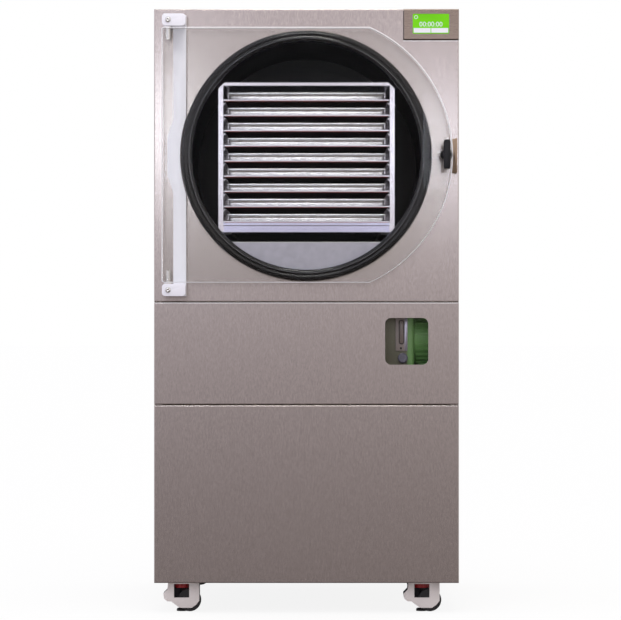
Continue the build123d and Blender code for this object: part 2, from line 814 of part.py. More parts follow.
# ---------------------------------------------------------------------------------------------
# Rack, shelves, heater mats and trays
# ---------------------------------------------------------------------------------------------
def rack_section(inset):
    """The rack's outline seen from the front, moved inwards by inset, as (x, z) points."""
    side = rack_width / 2 - inset
    top = rack_top - inset
    bottom = rack_bottom + inset
    cut = rack_corner - inset * (2 - math.sqrt(2))
    right = [(side, bottom), (side, top - cut), (side - cut, top)]
    return [(-side, bottom), *right, (-side + cut, top), (-side, top - cut)]


def make_rack_frame():
    """Folded case, open at both ends, with flanges round its front and slots for the shelves."""
    y = (rack_front, rack_back)
    through = (y[0] - cut_past, y[1] + cut_past)
    body = plate_across_y(rack_section(0), y) - plate_across_y(rack_section(rack_sheet), through)
    inner_side = rack_width / 2 - rack_sheet
    for flange_y in ((y[0], y[0] + rack_sheet), (y[1] - rack_sheet, y[1])):
        rim = plate_across_y(rack_section(0), flange_y)
        mouth_x = (-rack_width / 2 + rack_flange, rack_width / 2 - rack_flange)
        mouth_z = (rack_bottom + rack_base_front, rack_top - rack_lip)
        body += rim - slab(mouth_x, (flange_y[0] - cut_past, flange_y[1] + cut_past), mouth_z)
    groove_z = rack_bottom + rack_groove_rise
    groove_y = (y[0] - cut_past, y[0] + rack_sheet / 2)
    body -= slab((-inner_side, inner_side), groove_y, (groove_z, groove_z + rack_base_groove))
    for height in shelf_heights:
        slot_z = (height - shelf_thickness - fit_gap / 2, height + fit_gap / 2)
        for side in (-1, 1):
            ends = sorted((side * (inner_side - cut_past), side * (rack_width / 2 + 1)))
            for tab_y in shelf_tab_ends():
                body -= slab(ends, (tab_y[0] - fit_gap, tab_y[1] + fit_gap), slot_z)
            ear = sorted((side * (rack_width / 2 - rack_flange), side * shelf_ear_outer()))
            ear = (ear[0] - fit_gap, ear[1] + fit_gap)
            body -= slab(ear, (y[0] - cut_past, y[0] + rack_sheet + fit_gap), slot_z)
    return body


def shelf_tab_ends():
    """The two stretches of each shelf's side where a tab goes through the rack's side."""
    middle_front = rack_front + shelf_tab_inset
    middle_back = rack_back - shelf_tab_inset
    half = shelf_tab_length / 2
    return [(middle_front - half, middle_front + half), (middle_back - half, middle_back + half)]


def shelf_ear_outer():
    return rack_width / 2 - rack_flange + shelf_ear_width


def make_shelves():
    """One plate per tray, with tabs through the rack's sides and ears hooked in its front flange."""
    shelves = []
    inner_side = rack_width / 2 - rack_sheet - fit_gap / 2
    inner_y = (rack_front + rack_sheet + fit_gap, rack_back - rack_sheet - fit_gap)
    for height in shelf_heights:
        z = (height - shelf_thickness, height)
        shelf = slab((-inner_side, inner_side), inner_y, z)
        for tab_y in shelf_tab_ends():
            reach = rack_width / 2 + shelf_tab_reach
            shelf += slab((-reach, reach), tab_y, z)
        for side in (-1, 1):
            ear = sorted((side * (rack_width / 2 - rack_flange), side * shelf_ear_outer()))
            shelf += slab(ear, (rack_front - shelf_ear_reach, inner_y[0] + cut_past), z)
        shelves.append(shelf)
    return Compound(children=shelves)


def make_heater_mats():
    """Silicone heater mats bonded under the shelves."""
    half = rack_width / 2 - rack_flange - mat_inset
    y = (rack_front + rack_sheet + fit_gap, rack_back - mat_inset)
    mats = []
    for height in shelf_heights:
        top = height - shelf_thickness
        mats.append(slab((-half, half), y, (top - mat_thickness, top)))
    return Compound(children=mats)


def make_tray(number):
    """A pressed tray with a rolled rim, standing on shelf number."""
    bottom = shelf_heights[number]
    middle_y = rack_front + rack_sheet + tray_rim_width + tray_length / 2
    outer = RectangleRounded(tray_width, tray_length, tray_corner)
    inner = RectangleRounded(tray_width - 2 * tray_wall, tray_length - 2 * tray_wall, tray_corner - tray_wall)
    rim_size = (tray_width + 2 * tray_rim_width, tray_length + 2 * tray_rim_width)
    rim = extrude(RectangleRounded(*rim_size, tray_corner + tray_rim_width), tray_rim_height)
    rim = fillet(rim.edges().filter_by(Plane.XY), tray_rim_round)
    body = extrude(outer, tray_height)
    body = fillet(body.faces().sort_by(Axis.Z)[0].outer_wire().edges(), 2 * tray_wall)
    body += Pos(0, 0, tray_height - tray_rim_height) * rim
    body -= Pos(0, 0, tray_wall) * extrude(inner, tray_height)
    return Pos(0, middle_y, bottom) * body


# ---------------------------------------------------------------------------------------------
# Controls
# ---------------------------------------------------------------------------------------------
def make_control_bezel():
    x = (control_left, half_width)
    y = (front - control_stand_out, front + panel_fold)
    body = pan(x, y, (control_bottom, cabinet_top), control_wall, "+y")
    body = fillet(body.faces().sort_by(Axis.Y)[0].outer_wire().edges(), bend_radius)
    screen_x = (screen_offset - screen_width / 2, screen_offset + screen_width / 2)
    screen_z = (screen_height - screen_tall / 2, screen_height + screen_tall / 2)
    return body - rounded_slab(screen_x, (y[0] - cut_past, y[0] + 2 * control_wall), screen_z, bend_radius)


def make_touch_screen():
    """Sealed display module, its glass flush in the bezel's cut-out."""
    y_face = front - control_stand_out
    y_back = y_face + control_wall
    half_x = screen_width / 2 - fit_gap
    half_z = screen_tall / 2 - fit_gap
    glass_x = (screen_offset - half_x, screen_offset + half_x)
    glass_z = (screen_height - half_z, screen_height + half_z)
    body = rounded_slab(glass_x, (y_face + fit_gap, y_back), glass_z, bend_radius - fit_gap)
    module_x = (glass_x[0] - module_border, glass_x[1] + module_border)
    module_z = (glass_z[0] - module_border, glass_z[1] + module_border)
    return body + slab(module_x, (y_back, y_back + module_depth), module_z)


# ---------------------------------------------------------------------------------------------
# Vacuum pump
# ---------------------------------------------------------------------------------------------
def make_pump_casing():
    """Cast oil case with its label plate, sight-glass slot, feet and inlet nipple."""
    x = (pump_casing_left, pump_casing_right)
    y = (pump_front, pump_front + pump_casing_depth)
    body = slab(x, y, (pump_bottom, pump_top))
    body = fillet(body.edges().filter_by(Axis.Z), pump_casing_round)
    plate_x = (pump_plate_left, pump_plate_left + pump_plate_width)
    plate_y = (pump_front - pump_plate_thickness, pump_front)
    body += slab(plate_x, plate_y, (pump_plate_bottom, pump_top - pump_casing_round))
    slot_middle = pump_plate_left + pump_plate_width / 2
    slot_x = (slot_middle - sight_slot_width / 2, slot_middle + sight_slot_width / 2)
    slot_z = (sight_slot_bottom, sight_slot_bottom + sight_slot_tall)
    slot_y = (plate_y[0] - cut_past, plate_y[0] + sight_slot_depth)
    body -= rounded_slab(slot_x, slot_y, slot_z, sight_slot_width / 2 - fit_gap)
    for foot_y in (y[0] + pump_foot, y[1] - 3 * pump_foot):
        body += slab(x, (foot_y, foot_y + 2 * pump_foot), (pump_shelf_height, pump_bottom))
    body += rod_z(port_radius, port_offset, pump_middle_y, (pump_top, pump_top + hose_overlap))
    stem_bore = knob_stem_radius + running_clearance
    bore_y = (pump_front - cut_past, pump_front + knob_length)
    return body - rod_y(stem_bore, knob_offset, bore_y, knob_height)


def make_pump_motor():
    """Motor frame with cooling fins along its length, flanged to the oil case."""
    x = (pump_casing_right, pump_casing_right + motor_gap + motor_length)
    body = rod_x(motor_radius, x, pump_middle_y, motor_height)
    fin_x = (x[0] + motor_gap, x[1] - 2 * motor_gap)
    for number in range(motor_fin_count):
        angle = 360 * number / motor_fin_count
        radius = motor_radius + motor_fin_height / 2 - cut_past
        fin = Box(fin_x[1] - fin_x[0], motor_fin_height + 2 * cut_past, motor_fin_thickness)
        fin = Rot(angle, 0, 0) * Pos((fin_x[0] + fin_x[1]) / 2, radius, 0) * fin
        body += Pos(0, pump_middle_y, motor_height) * fin
    foot_x = (x[0] + 3 * motor_gap, x[1] - 4 * motor_gap)
    foot_y = (pump_middle_y - motor_radius / 2, pump_middle_y + motor_radius / 2)
    return body + slab(foot_x, foot_y, (pump_shelf_height, motor_height - motor_radius / 2))


def make_pump_drain_knob():
    knob_y = (pump_front - fit_gap - knob_length, pump_front - fit_gap)
    body = rod_y(knob_radius, knob_offset, knob_y, knob_height)
    body = chamfer(body.edges().filter_by(GeomType.CIRCLE).sort_by(Axis.Y)[0], knob_chamfer)
    stem_y = (knob_y[1] - cut_past, pump_front + knob_length / 2)
    return body + rod_y(knob_stem_radius, knob_offset, stem_y, knob_height)


def make_vacuum_hose():
    """Rubber hose pushed over the pump's nipple and the chamber's port."""
    ends = (pump_top + fit_gap, port_drop + hose_overlap)
    body = rod_z(port_radius + hose_wall, port_offset, pump_middle_y, ends)
    through = (ends[0] - cut_past, ends[1] + cut_past)
    return body - rod_z(port_radius + press_gap, port_offset, pump_middle_y, through)


# ---------------------------------------------------------------------------------------------
# Refrigeration
# ---------------------------------------------------------------------------------------------
def suction_stub_place():
    """The compressor's suction stub: its x, its y and the height of its open end."""
    top = condenser_bottom + compressor_foot_height + compressor_height + compressor_stub_reach
    return compressor_offset + compressor_stub_offset, front + compressor_setback, top


def make_compressor():
    """Hermetic compressor can on its foot plate, with a suction stub, a discharge line and a terminal box."""
    floor = condenser_bottom
    stub_x, y, stub_top = suction_stub_place()
    can_z = (floor + compressor_foot_height, floor + compressor_foot_height + compressor_height)
    body = rod_z(compressor_radius, compressor_offset, y, can_z)
    body = fillet(body.edges().filter_by(GeomType.CIRCLE), compressor_round)
    reach = compressor_plate_reach
    plate_x = (compressor_offset - reach, compressor_offset + reach)
    plate_z = (can_z[0] - compressor_plate_thickness, can_z[0] + cut_past)
    body += slab(plate_x, (y - reach, y + reach), plate_z)
    foot_reach = reach - compressor_foot_inset
    for dx in (-foot_reach, foot_reach):
        for dy in (-foot_reach, foot_reach):
            body += rod_z(compressor_foot_radius, compressor_offset + dx, y + dy, (floor, can_z[0]))
    body += rod_z(coil_tube_radius, stub_x, y, (can_z[1] - compressor_stub_reach, stub_top))
    discharge_y = y + compressor_stub_offset
    body += bent_tube(discharge_tube_radius, [
        (-liquid_offset, discharge_y, can_z[1] - compressor_stub_reach),
        (-liquid_offset, discharge_y, discharge_height),
        (-liquid_offset, condenser_front, discharge_height),
    ])
    can_side = compressor_offset + compressor_radius
    box_x = (can_side - terminal_box_depth, can_side + terminal_box_reach)
    box_y = (y - terminal_box_width / 2, y + terminal_box_width / 2)
    box_bottom = can_z[0] + terminal_box_rise
    return body + slab(box_x, box_y, (box_bottom, box_bottom + terminal_box_tall))


def make_condenser():
    """Finned coil block with end plates and a fan shroud on its inner face."""
    x = (-condenser_width / 2, condenser_width / 2)
    z = (condenser_bottom, condenser_bottom + condenser_tall)
    body = slab(x, (condenser_front, condenser_back), z)
    pitch = condenser_width / (condenser_fin_count + 1)
    for number in range(condenser_fin_count):
        middle = x[0] + pitch * (number + 1)
        groove_x = (middle - condenser_fin_groove / 2, middle + condenser_fin_groove / 2)
        groove_z = (z[0] + condenser_gap, z[1] - condenser_gap)
        body -= slab(groove_x, (condenser_back - condenser_depth / 2, condenser_back + cut_past), groove_z)
    shroud_y = (condenser_front - shroud_depth, condenser_front)
    shroud = rod_y(shroud_radius, 0, shroud_y, fan_height)
    shroud -= rod_y(shroud_radius - shroud_wall, 0, (shroud_y[0] - cut_past, shroud_y[1]), fan_height)
    return body + shroud


def make_fan_blades():
    """Pressed fan wheel with twisted-in blades on a hub."""
    hub_y = (fan_middle_y - fan_depth / 2, fan_middle_y + fan_depth / 2 - fan_hub_recess)
    body = rod_y(fan_hub_radius, 0, hub_y, fan_height)
    span = fan_radius - fan_hub_radius + fan_blade_root
    blade = Box(fan_blade_width, fan_blade_thickness, span)
    blade = fillet(blade.edges().filter_by(Axis.Y).sort_by(Axis.Z)[-2:], fan_blade_round)
    blade = Pos(0, 0, fan_hub_radius - fan_blade_root + span / 2) * Rot(0, 0, fan_blade_tilt) * blade
    for number in range(fan_blade_count):
        turn = Rot(0, 360 * number / fan_blade_count, 0)
        body += Pos(0, fan_middle_y, fan_height) * turn * blade
    body &= rod_y(fan_radius, 0, (fan_middle_y - fan_depth, fan_middle_y + fan_depth), fan_height)
    bore_y = (hub_y[0] - cut_past, hub_y[0] + fan_depth / 2)
    return body - rod_y(fan_shaft_radius + running_clearance, 0, bore_y, fan_height)


def make_fan_motor():
    """Motor and shaft on a three-armed spider that is fixed to the shroud's rim."""
    shroud_front = condenser_front - shroud_depth
    plate_y = (shroud_front - spider_thickness, shroud_front)
    body = rod_y(fan_motor_radius, 0, (plate_y[0] - fan_motor_length, plate_y[1]), fan_height)
    shaft_y = (plate_y[0], fan_middle_y - fan_shaft_end_gap)
    body += rod_y(fan_shaft_radius, 0, shaft_y, fan_height)
    for number in range(spider_arms):
        arm = slab((-spider_width / 2, spider_width / 2), plate_y, (0, shroud_radius))
        body += Pos(0, 0, fan_height) * Rot(0, 360 * number / spider_arms, 0) * arm
    return body


# ---------------------------------------------------------------------------------------------
# Drain and power inlet
# ---------------------------------------------------------------------------------------------
def make_drain_valve():
    """Solenoid drain valve on the chamber's stub, with its outlet led through the back panel."""
    half = drain_block / 2
    block_z = (drain_height - half, drain_height + half)
    body = slab((-half, half), (drain_y - half, drain_y + half), block_z)
    body = fillet(body.edges().filter_by(Axis.Z), drain_block_round)
    body += rod_z(drain_coil_radius, 0, drain_y, (block_z[0] - 2 * half, block_z[0]))
    outlet_start = back + drain_outlet_gap
    body += rod_y(drain_tube_radius, 0, (drain_y, outlet_start), drain_height)
    return body + rod_y(drain_outlet_radius, 0, (outlet_start, back + drain_outlet_reach), drain_height)


def make_power_inlet():
    """Moulded inlet with three blades in its recess, its flange on the back panel."""
    x = (inlet_offset - inlet_width / 2, inlet_offset + inlet_width / 2)
    z = (inlet_height - inlet_tall / 2, inlet_height + inlet_tall / 2)
    face = back + inlet_flange_thickness
    body = slab(x, (back - inlet_depth, back), z)
    flange_x = (x[0] - inlet_flange, x[1] + inlet_flange)
    body += slab(flange_x, (back, face), (z[0] - inlet_flange / 2, z[1] + inlet_flange / 2))
    recess_x = (inlet_offset - inlet_recess_width / 2, inlet_offset + inlet_recess_width / 2)
    recess_z = (inlet_height - inlet_recess_tall / 2, inlet_height + inlet_recess_tall / 2)
    floor = back - inlet_depth + inlet_floor
    body -= slab(recess_x, (floor, face + cut_past), recess_z)
    blade_y = (floor - cut_past, floor + inlet_blade_length)
    for dx, dz in inlet_blade_places:
        x_middle, z_middle = inlet_offset + dx, inlet_height + dz
        blade_x = (x_middle - inlet_blade_size[0] / 2, x_middle + inlet_blade_size[0] / 2)
        blade_z = (z_middle - inlet_blade_size[1] / 2, z_middle + inlet_blade_size[1] / 2)
        body += slab(blade_x, blade_y, blade_z)
    return body


# ---------------------------------------------------------------------------------------------
# Casters with a levelling foot
# ---------------------------------------------------------------------------------------------
def caster_cheek_outline():
    """The cast housing's side view: a tail at the left, a round nose over the wheel at the right."""
    top = [(x - caster_left_reach, caster_bridge_top + z) for x, z in caster_top_outline]
    tail = [(x - caster_left_reach, caster_bottom + z) for x, z in caster_tail_outline]
    nose = [(x + caster_right_reach, caster_bottom + z) for x, z in caster_nose_outline]
    return top + tail + nose + [(caster_right_reach, caster_bridge_top)]


def make_caster_housing(x, y):
    """The cast fork that swivels on the kingpin, with a window for the thumbwheel in each cheek."""
    half = caster_half_width
    body = plate_across_y(caster_cheek_outline(), (-half, half))
    inner = half - caster_cheek
    inner_x = (caster_inner_start - caster_left_reach, caster_right_reach + cut_past)
    body -= slab(inner_x, (-inner, inner), (0, caster_bridge_bottom))
    window_x = (foot_offset - caster_window_width / 2, foot_offset + caster_window_width / 2)
    body -= slab(window_x, (-half - cut_past, 0), (caster_window_bottom, caster_bridge_bottom))
    body -= slab(window_x, (0, half + cut_past), (caster_rear_window_bottom, caster_bridge_bottom))
    wheel_z = wheel_radius + wheel_lift
    body += rod_y(axle_radius, wheel_offset, (-half, half), wheel_z)
    rivet_x = rivet_inset - caster_left_reach
    rivet_y = (-half - rivet_proud, half + rivet_proud)
    body += rod_y(rivet_radius, rivet_x, rivet_y, caster_bottom + rivet_rise)
    bores_z = (caster_bridge_bottom - cut_past, caster_bridge_top + cut_past)
    body -= rod_z(stem_radius + running_clearance, foot_offset, foot_side, bores_z)
    body -= rod_z(kingpin_radius + running_clearance, 0, 0, bores_z)
    return Pos(x, y, 0) * body


def make_caster_wheel(x, y):
    wheel_y = (wheel_side - wheel_width / 2, wheel_side + wheel_width / 2)
    wheel_z = wheel_radius + wheel_lift
    body = rod_y(wheel_radius, wheel_offset, wheel_y, wheel_z)
    body = fillet(body.edges().filter_by(GeomType.CIRCLE), wheel_round)
    through = (wheel_y[0] - cut_past, wheel_y[1] + cut_past)
    bore = rod_y(axle_radius + running_clearance, wheel_offset, through, wheel_z)
    return Pos(x, y, 0) * (body - bore)


def make_caster_thumbwheel(x, y):
    """Red nut wheel; turning it moves the foot's stem up or down."""
    z = (thumbwheel_bottom, thumbwheel_bottom + thumbwheel_height)
    through = (z[0] - cut_past, z[1] + cut_past)
    body = rod_z(thumbwheel_radius, 0, 0, z)
    for number in range(thumbwheel_notches):
        turn = Rot(0, 0, 360 * number / thumbwheel_notches)
        body -= turn * rod_z(thumbwheel_notch_radius, thumbwheel_radius, 0, through)
    body -= rod_z(stem_radius + running_clearance, 0, 0, through)
    return Pos(x + foot_offset, y + foot_side, 0) * body


def make_caster_foot(x, y):
    """Rubber pad on a threaded stem."""
    pad = rod_z(foot_radius, 0, 0, (0, foot_height))
    pad = chamfer(pad.edges().filter_by(GeomType.CIRCLE).sort_by(Axis.Z)[-1], foot_chamfer)
    stem = rod_z(stem_radius, 0, 0, (foot_height - cut_past, stem_top))
    return Pos(x + foot_offset, y + foot_side, 0) * (pad + stem)


# ---------------------------------------------------------------------------------------------
# All pieces
# ---------------------------------------------------------------------------------------------
def make_parts():
    parts = {
        "base_pan": make_base_pan(),
        "side_panel_left": make_side_panel(-1),
        "side_panel_right": make_side_panel(1),
        "top_panel": make_top_panel(),
        "back_panel": make_back_panel(),
        "upper_front_panel": make_upper_front_panel(),
        "middle_front_panel": make_middle_front_panel(),
        "lower_front_panel": make_lower_front_panel(),
        "window_pane": make_window_pane(),
        "equipment_deck": make_equipment_deck(),
        "vacuum_chamber": make_vacuum_chamber(),
        "door_gasket": make_door_gasket(),
        "chamber_insulation": make_chamber_insulation(),
        "evaporator_coil": make_evaporator_coil(),
        "door": make_door(),
        "hinge_bar": make_hinge_bar(),
        "hinge_pins": make_hinge_pins(),
        "hinge_screws": make_hinge_screws(),
        "latch_handle": make_latch_handle(),
        "latch_catch": make_latch_catch(),
        "rack_frame": make_rack_frame(),
        "shelves": make_shelves(),
        "heater_mats": make_heater_mats(),
        "control_bezel": make_control_bezel(),
        "touch_screen": make_touch_screen(),
        "pump_casing": make_pump_casing(),
        "pump_motor": make_pump_motor(),
        "pump_drain_knob": make_pump_drain_knob(),
        "vacuum_hose": make_vacuum_hose(),
        "compressor": make_compressor(),
        "condenser": make_condenser(),
        "fan_blades": make_fan_blades(),
        "fan_motor": make_fan_motor(),
        "drain_valve": make_drain_valve(),
        "power_inlet": make_power_inlet(),
    }
    for number in range(tray_count):
        parts[f"tray_{tray_count - number}"] = make_tray(number)
    for place, x, y in caster_places:
        parts[f"caster_housing_{place}"] = make_caster_housing(x, y)
        parts[f"caster_wheel_{place}"] = make_caster_wheel(x, y)
        parts[f"caster_thumbwheel_{place}"] = make_caster_thumbwheel(x, y)
        parts[f"caster_foot_{place}"] = make_caster_foot(x, y)
    return parts


os.makedirs("parts", exist_ok=True)
for node, solid in make_parts().items():
    export_step(solid, f"parts/{node}.step")
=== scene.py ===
import math

import bmesh
import bpy
from mathutils import Matrix, Vector


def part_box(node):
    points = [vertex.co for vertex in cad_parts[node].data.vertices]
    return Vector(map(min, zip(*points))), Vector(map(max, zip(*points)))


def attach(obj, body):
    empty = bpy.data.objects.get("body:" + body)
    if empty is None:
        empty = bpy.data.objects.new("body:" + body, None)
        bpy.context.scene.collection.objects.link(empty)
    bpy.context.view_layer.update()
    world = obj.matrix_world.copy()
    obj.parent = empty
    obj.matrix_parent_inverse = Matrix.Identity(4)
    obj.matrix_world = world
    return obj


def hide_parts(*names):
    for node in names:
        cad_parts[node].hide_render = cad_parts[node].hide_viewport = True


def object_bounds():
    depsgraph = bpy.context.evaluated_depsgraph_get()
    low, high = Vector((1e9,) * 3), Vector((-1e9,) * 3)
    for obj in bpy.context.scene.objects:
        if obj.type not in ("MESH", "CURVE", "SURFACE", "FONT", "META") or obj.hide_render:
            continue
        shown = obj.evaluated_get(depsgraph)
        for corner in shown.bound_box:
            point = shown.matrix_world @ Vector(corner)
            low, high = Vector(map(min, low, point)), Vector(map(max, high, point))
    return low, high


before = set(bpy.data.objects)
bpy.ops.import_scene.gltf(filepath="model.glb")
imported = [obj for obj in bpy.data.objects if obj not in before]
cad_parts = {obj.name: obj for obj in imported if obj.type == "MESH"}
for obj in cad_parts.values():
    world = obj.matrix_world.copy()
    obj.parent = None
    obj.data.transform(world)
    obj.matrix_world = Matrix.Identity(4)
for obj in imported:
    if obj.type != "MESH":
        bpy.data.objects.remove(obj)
cad_low, cad_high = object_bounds()
scene = bpy.context.scene
mm = 0.001
weld = 1e-6  # points nearer than this count as one
noise_low, noise_high = 0.3, 0.7  # where nearly all of a noise field lies
tray_count = 9
corners = ("front_left", "front_right", "rear_left", "rear_right")


# ---------------------------------------------------------------------------------------------
# Finishes
# ---------------------------------------------------------------------------------------------
def finish(name, colour, roughness, **constants):
    """A finish with its constant values set on the shader."""
    made = bpy.data.materials.new(name)
    made.use_nodes = True
    surface = made.node_tree.nodes["Principled BSDF"]
    surface.inputs["Base Color"].default_value = (*colour, 1)
    surface.inputs["Roughness"].default_value = roughness
    for socket, value in constants.items():
        surface.inputs[socket.replace("_", " ")].default_value = value
    return made


def add(made, kind, **values):
    """A node in a finish, with its inputs set."""
    node = made.node_tree.nodes.new(kind)
    for socket, value in values.items():
        node.inputs[socket.replace("_", " ")].default_value = value
    return node


def join(made, source, target):
    made.node_tree.links.new(source, target)


def surface_of(made):
    return made.node_tree.nodes["Principled BSDF"].inputs


def feed(made, values, inputs):
    """Each value goes into its socket, as a link where it comes from another node."""
    for value, target in zip(values, inputs):
        if isinstance(value, bpy.types.NodeSocket):
            join(made, value, target)
        else:
            target.default_value = value


def worked_out(made, operation, *values):
    """A number made from others, which may be plain values or links."""
    step = add(made, "ShaderNodeMath")
    step.operation = operation
    feed(made, values, step.inputs)
    return step.outputs[0]


def graded(made, field, start, end, **limits):
    """A share that runs from 0 at start to 1 at end of the field, unless other limits are given."""
    grade = add(made, "ShaderNodeMapRange", From_Min=start, From_Max=end, **limits)
    join(made, field, grade.inputs["Value"])
    return grade.outputs["Result"]


def blend(made, share, first, second, way="MIX"):
    """Two colours, mixed or multiplied by a share."""
    share_socket, first_colour, second_colour, mixed_colour = 0, 6, 7, 2
    mix = add(made, "ShaderNodeMix")
    mix.data_type = "RGBA"
    mix.blend_type = way
    feed(made, (share, first, second), [mix.inputs[n] for n in (share_socket, first_colour, second_colour)])
    return mix.outputs[mixed_colour]


def axes_of(made, place):
    split = add(made, "ShaderNodeSeparateXYZ")
    join(made, place, split.inputs[0])
    return split.outputs


def part_shader(made, share, shader):
    """Lays another shader over the finish by a share."""
    mix = add(made, "ShaderNodeMixShader")
    feed(made, (share, made.node_tree.nodes["Principled BSDF"].outputs[0], shader.outputs[0]), mix.inputs)
    join(made, mix.outputs[0], made.node_tree.nodes["Material Output"].inputs["Surface"])


def place_on(made, stretch=(1, 1, 1)):
    """Places in the object's own metres, stretched along the axes."""
    coordinates = add(made, "ShaderNodeTexCoord")
    mapping = add(made, "ShaderNodeMapping", Scale=stretch)
    join(made, coordinates.outputs["Object"], mapping.inputs["Vector"])
    return mapping.outputs["Vector"]


def noise(made, per_metre, stretch=(1, 1, 1), detail=3):
    field = add(made, "ShaderNodeTexNoise", Scale=per_metre, Detail=detail)
    join(made, place_on(made, stretch), field.inputs["Vector"])
    return field.outputs["Fac"]


def mottle(made, field, dark, light):
    """The colour runs from dark to light with the field."""
    ramp = add(made, "ShaderNodeValToRGB")
    first, last = ramp.color_ramp.elements
    first.position, first.color = noise_low, (*dark, 1)
    last.position, last.color = noise_high, (*light, 1)
    join(made, field, ramp.inputs["Fac"])
    join(made, ramp.outputs["Color"], surface_of(made)["Base Color"])
    return ramp


def uneven_gloss(made, field, least, most):
    spread = graded(made, field, noise_low, noise_high, To_Min=least, To_Max=most)
    join(made, spread, surface_of(made)["Roughness"])


def relief(made, field, height, strength=1.0):
    bump = add(made, "ShaderNodeBump", Strength=strength, Distance=height)
    join(made, field, bump.inputs["Height"])
    join(made, bump.outputs["Normal"], surface_of(made)["Normal"])


def shaded(colour, share):
    return tuple(channel * share for channel in colour)


def brushed(name, colour, grain, gloss, lines_per_metre=1500, depth=0.10, height=0.000004, cloud=0):
    """Sheet metal with a brushed grain; grain is how much the lines are stretched along each axis."""
    made = finish(name, colour, gloss, Metallic=1.0)
    lines = noise(made, lines_per_metre, grain, 4)
    tint = mottle(made, lines, shaded(colour, 1 - depth), shaded(colour, 1 + depth / 2))
    if cloud:
        cloud_share = 0.55
        patches = noise(made, cloud, tuple(share ** 0.3 for share in grain), 3)
        faint_lines = worked_out(made, "MULTIPLY", lines, 1 - cloud_share)
        join(made, worked_out(made, "MULTIPLY_ADD", patches, cloud_share, faint_lines), tint.inputs["Fac"])
    uneven_gloss(made, lines, gloss - 0.015, gloss + 0.02)
    relief(made, lines, height, 0.4)
    return made


def painted(name, colour, roughness, per_metre=700, height=0.00003, depth=0.85, **constants):
    """Paint or moulded plastic with a fine skin and a slightly uneven colour."""
    made = finish(name, colour, roughness, **constants)
    skin = noise(made, per_metre)
    mottle(made, noise(made, per_metre / 30), shaded(colour, depth), colour)
    uneven_gloss(made, skin, roughness - 0.05, roughness + 0.08)
    relief(made, skin, height, 0.5)
    return made


def clear(name, colour, index, openness):
    """Clear sheet that lets lamps through to what is behind it; openness is how little it mirrors."""
    made = finish(name, colour, 0.0, Transmission_Weight=1.0, IOR=index)
    tint = shaded(colour, 0.985)
    mottle(made, noise(made, 9), tint, colour)
    rays = add(made, "ShaderNodeLightPath").outputs
    passing = worked_out(made, "MAXIMUM", rays["Is Shadow Ray"], rays["Is Diffuse Ray"])
    open_air = add(made, "ShaderNodeBsdfTransparent", Color=(*tint, 1))
    part_shader(made, worked_out(made, "MAXIMUM", passing, openness), open_air)
    return made


along_z, along_y, along_x = (1, 1, 0.012), (1, 0.012, 1), (0.012, 1, 1)
steel = (0.475, 0.430, 0.405)
panel_steel = brushed("panel_steel", steel, along_z, 0.24, 2600, 0.20, 0.000001, 420)
top_steel = brushed("top_steel", steel, along_y, 0.24, 2600, 0.20, 0.000001, 420)
bezel_steel = brushed("bezel_steel", (0.29, 0.235, 0.195), along_x, 0.28, 2600, 0.16, 0.000001, 500)
rack_steel = brushed("rack_steel", (0.70, 0.685, 0.73), along_x, 0.17, 1800, 0.06, 0.000001)
base_steel = brushed("rack_base_steel", (0.60, 0.60, 0.76), along_x, 0.22, 1800, 0.06, 0.000001)
tray_steel = brushed("tray_steel", (0.74, 0.75, 0.77), along_x, 0.26, 2400, 0.03, 0.0000002)
weir_steel = brushed("weir_steel", (0.455, 0.445, 0.495), (1, 1, 1), 0.42, 60, 0.10)
zinc = brushed("zinc_plate", (0.72, 0.72, 0.70), (1, 1, 1), 0.20, 600)
galvanised = brushed("galvanised_sheet", (0.50, 0.51, 0.52), (1, 1, 1), 0.42, 90)
copper = brushed("copper_tube", (0.72, 0.36, 0.22), (1, 1, 1), 0.30, 200)
# Tan brass for the latch catch; its colour also stands in for the shadow band the door's edge casts beside it,
# so it is partly painted shadow.
brass_and_painted_shadow = brushed("brass_strip_and_painted_shadow", (0.36, 0.265, 0.185), along_z, 0.35, 900)
aluminium = brushed("aluminium_fins", (0.70, 0.71, 0.72), along_z, 0.35, 700)
chamber_dark = painted("chamber_dark", (0.009, 0.008, 0.009), 0.45, 500)
seal_rubber = painted("seal_rubber", (0.004, 0.004, 0.005), 0.13, 900, 0.0000022, 0.9,
                      Specular_IOR_Level=0.46)
# Grey rubber lighter than the seal, for a thin line on the gasket: a painted highlight.
rubber_painted_highlight = painted("rubber_painted_highlight", (0.16, 0.16, 0.175), 0.22, 900, 0.000004, 0.5)
foam = painted("foam", (0.045, 0.045, 0.048), 0.85, 350, 0.0004)
white_paint = painted("white_paint", (0.86, 0.86, 0.93), 0.36, 1100, 0.00002, 0.97)
black_plastic = painted("black_plastic", (0.010, 0.010, 0.012), 0.30, 1200, Specular_IOR_Level=0.22)
# The heater mats' silicone darkened far below its own orange-red, which mat_edge keeps: painted shade.
silicone_painted_shade = painted("heater_silicone", (0.055, 0.008, 0.008), 0.6, 600, 0.00006)
pump_green = painted("pump_green", (0.21, 0.46, 0.13), 0.42, 260, 0.0003, 0.75)
knob_grey = painted("knob_grey", (0.15, 0.145, 0.19), 0.16, 800)
hose_rubber = painted("hose_rubber", (0.02, 0.02, 0.02), 0.5, 500, 0.0001)
compressor_black = painted("compressor_black", (0.012, 0.012, 0.013), 0.35, 400)
fan_black = painted("fan_black", (0.02, 0.02, 0.022), 0.4, 500)
ivory = painted("caster_ivory", (0.92, 0.87, 0.84), 0.45, 420, 0.00012, 0.86)
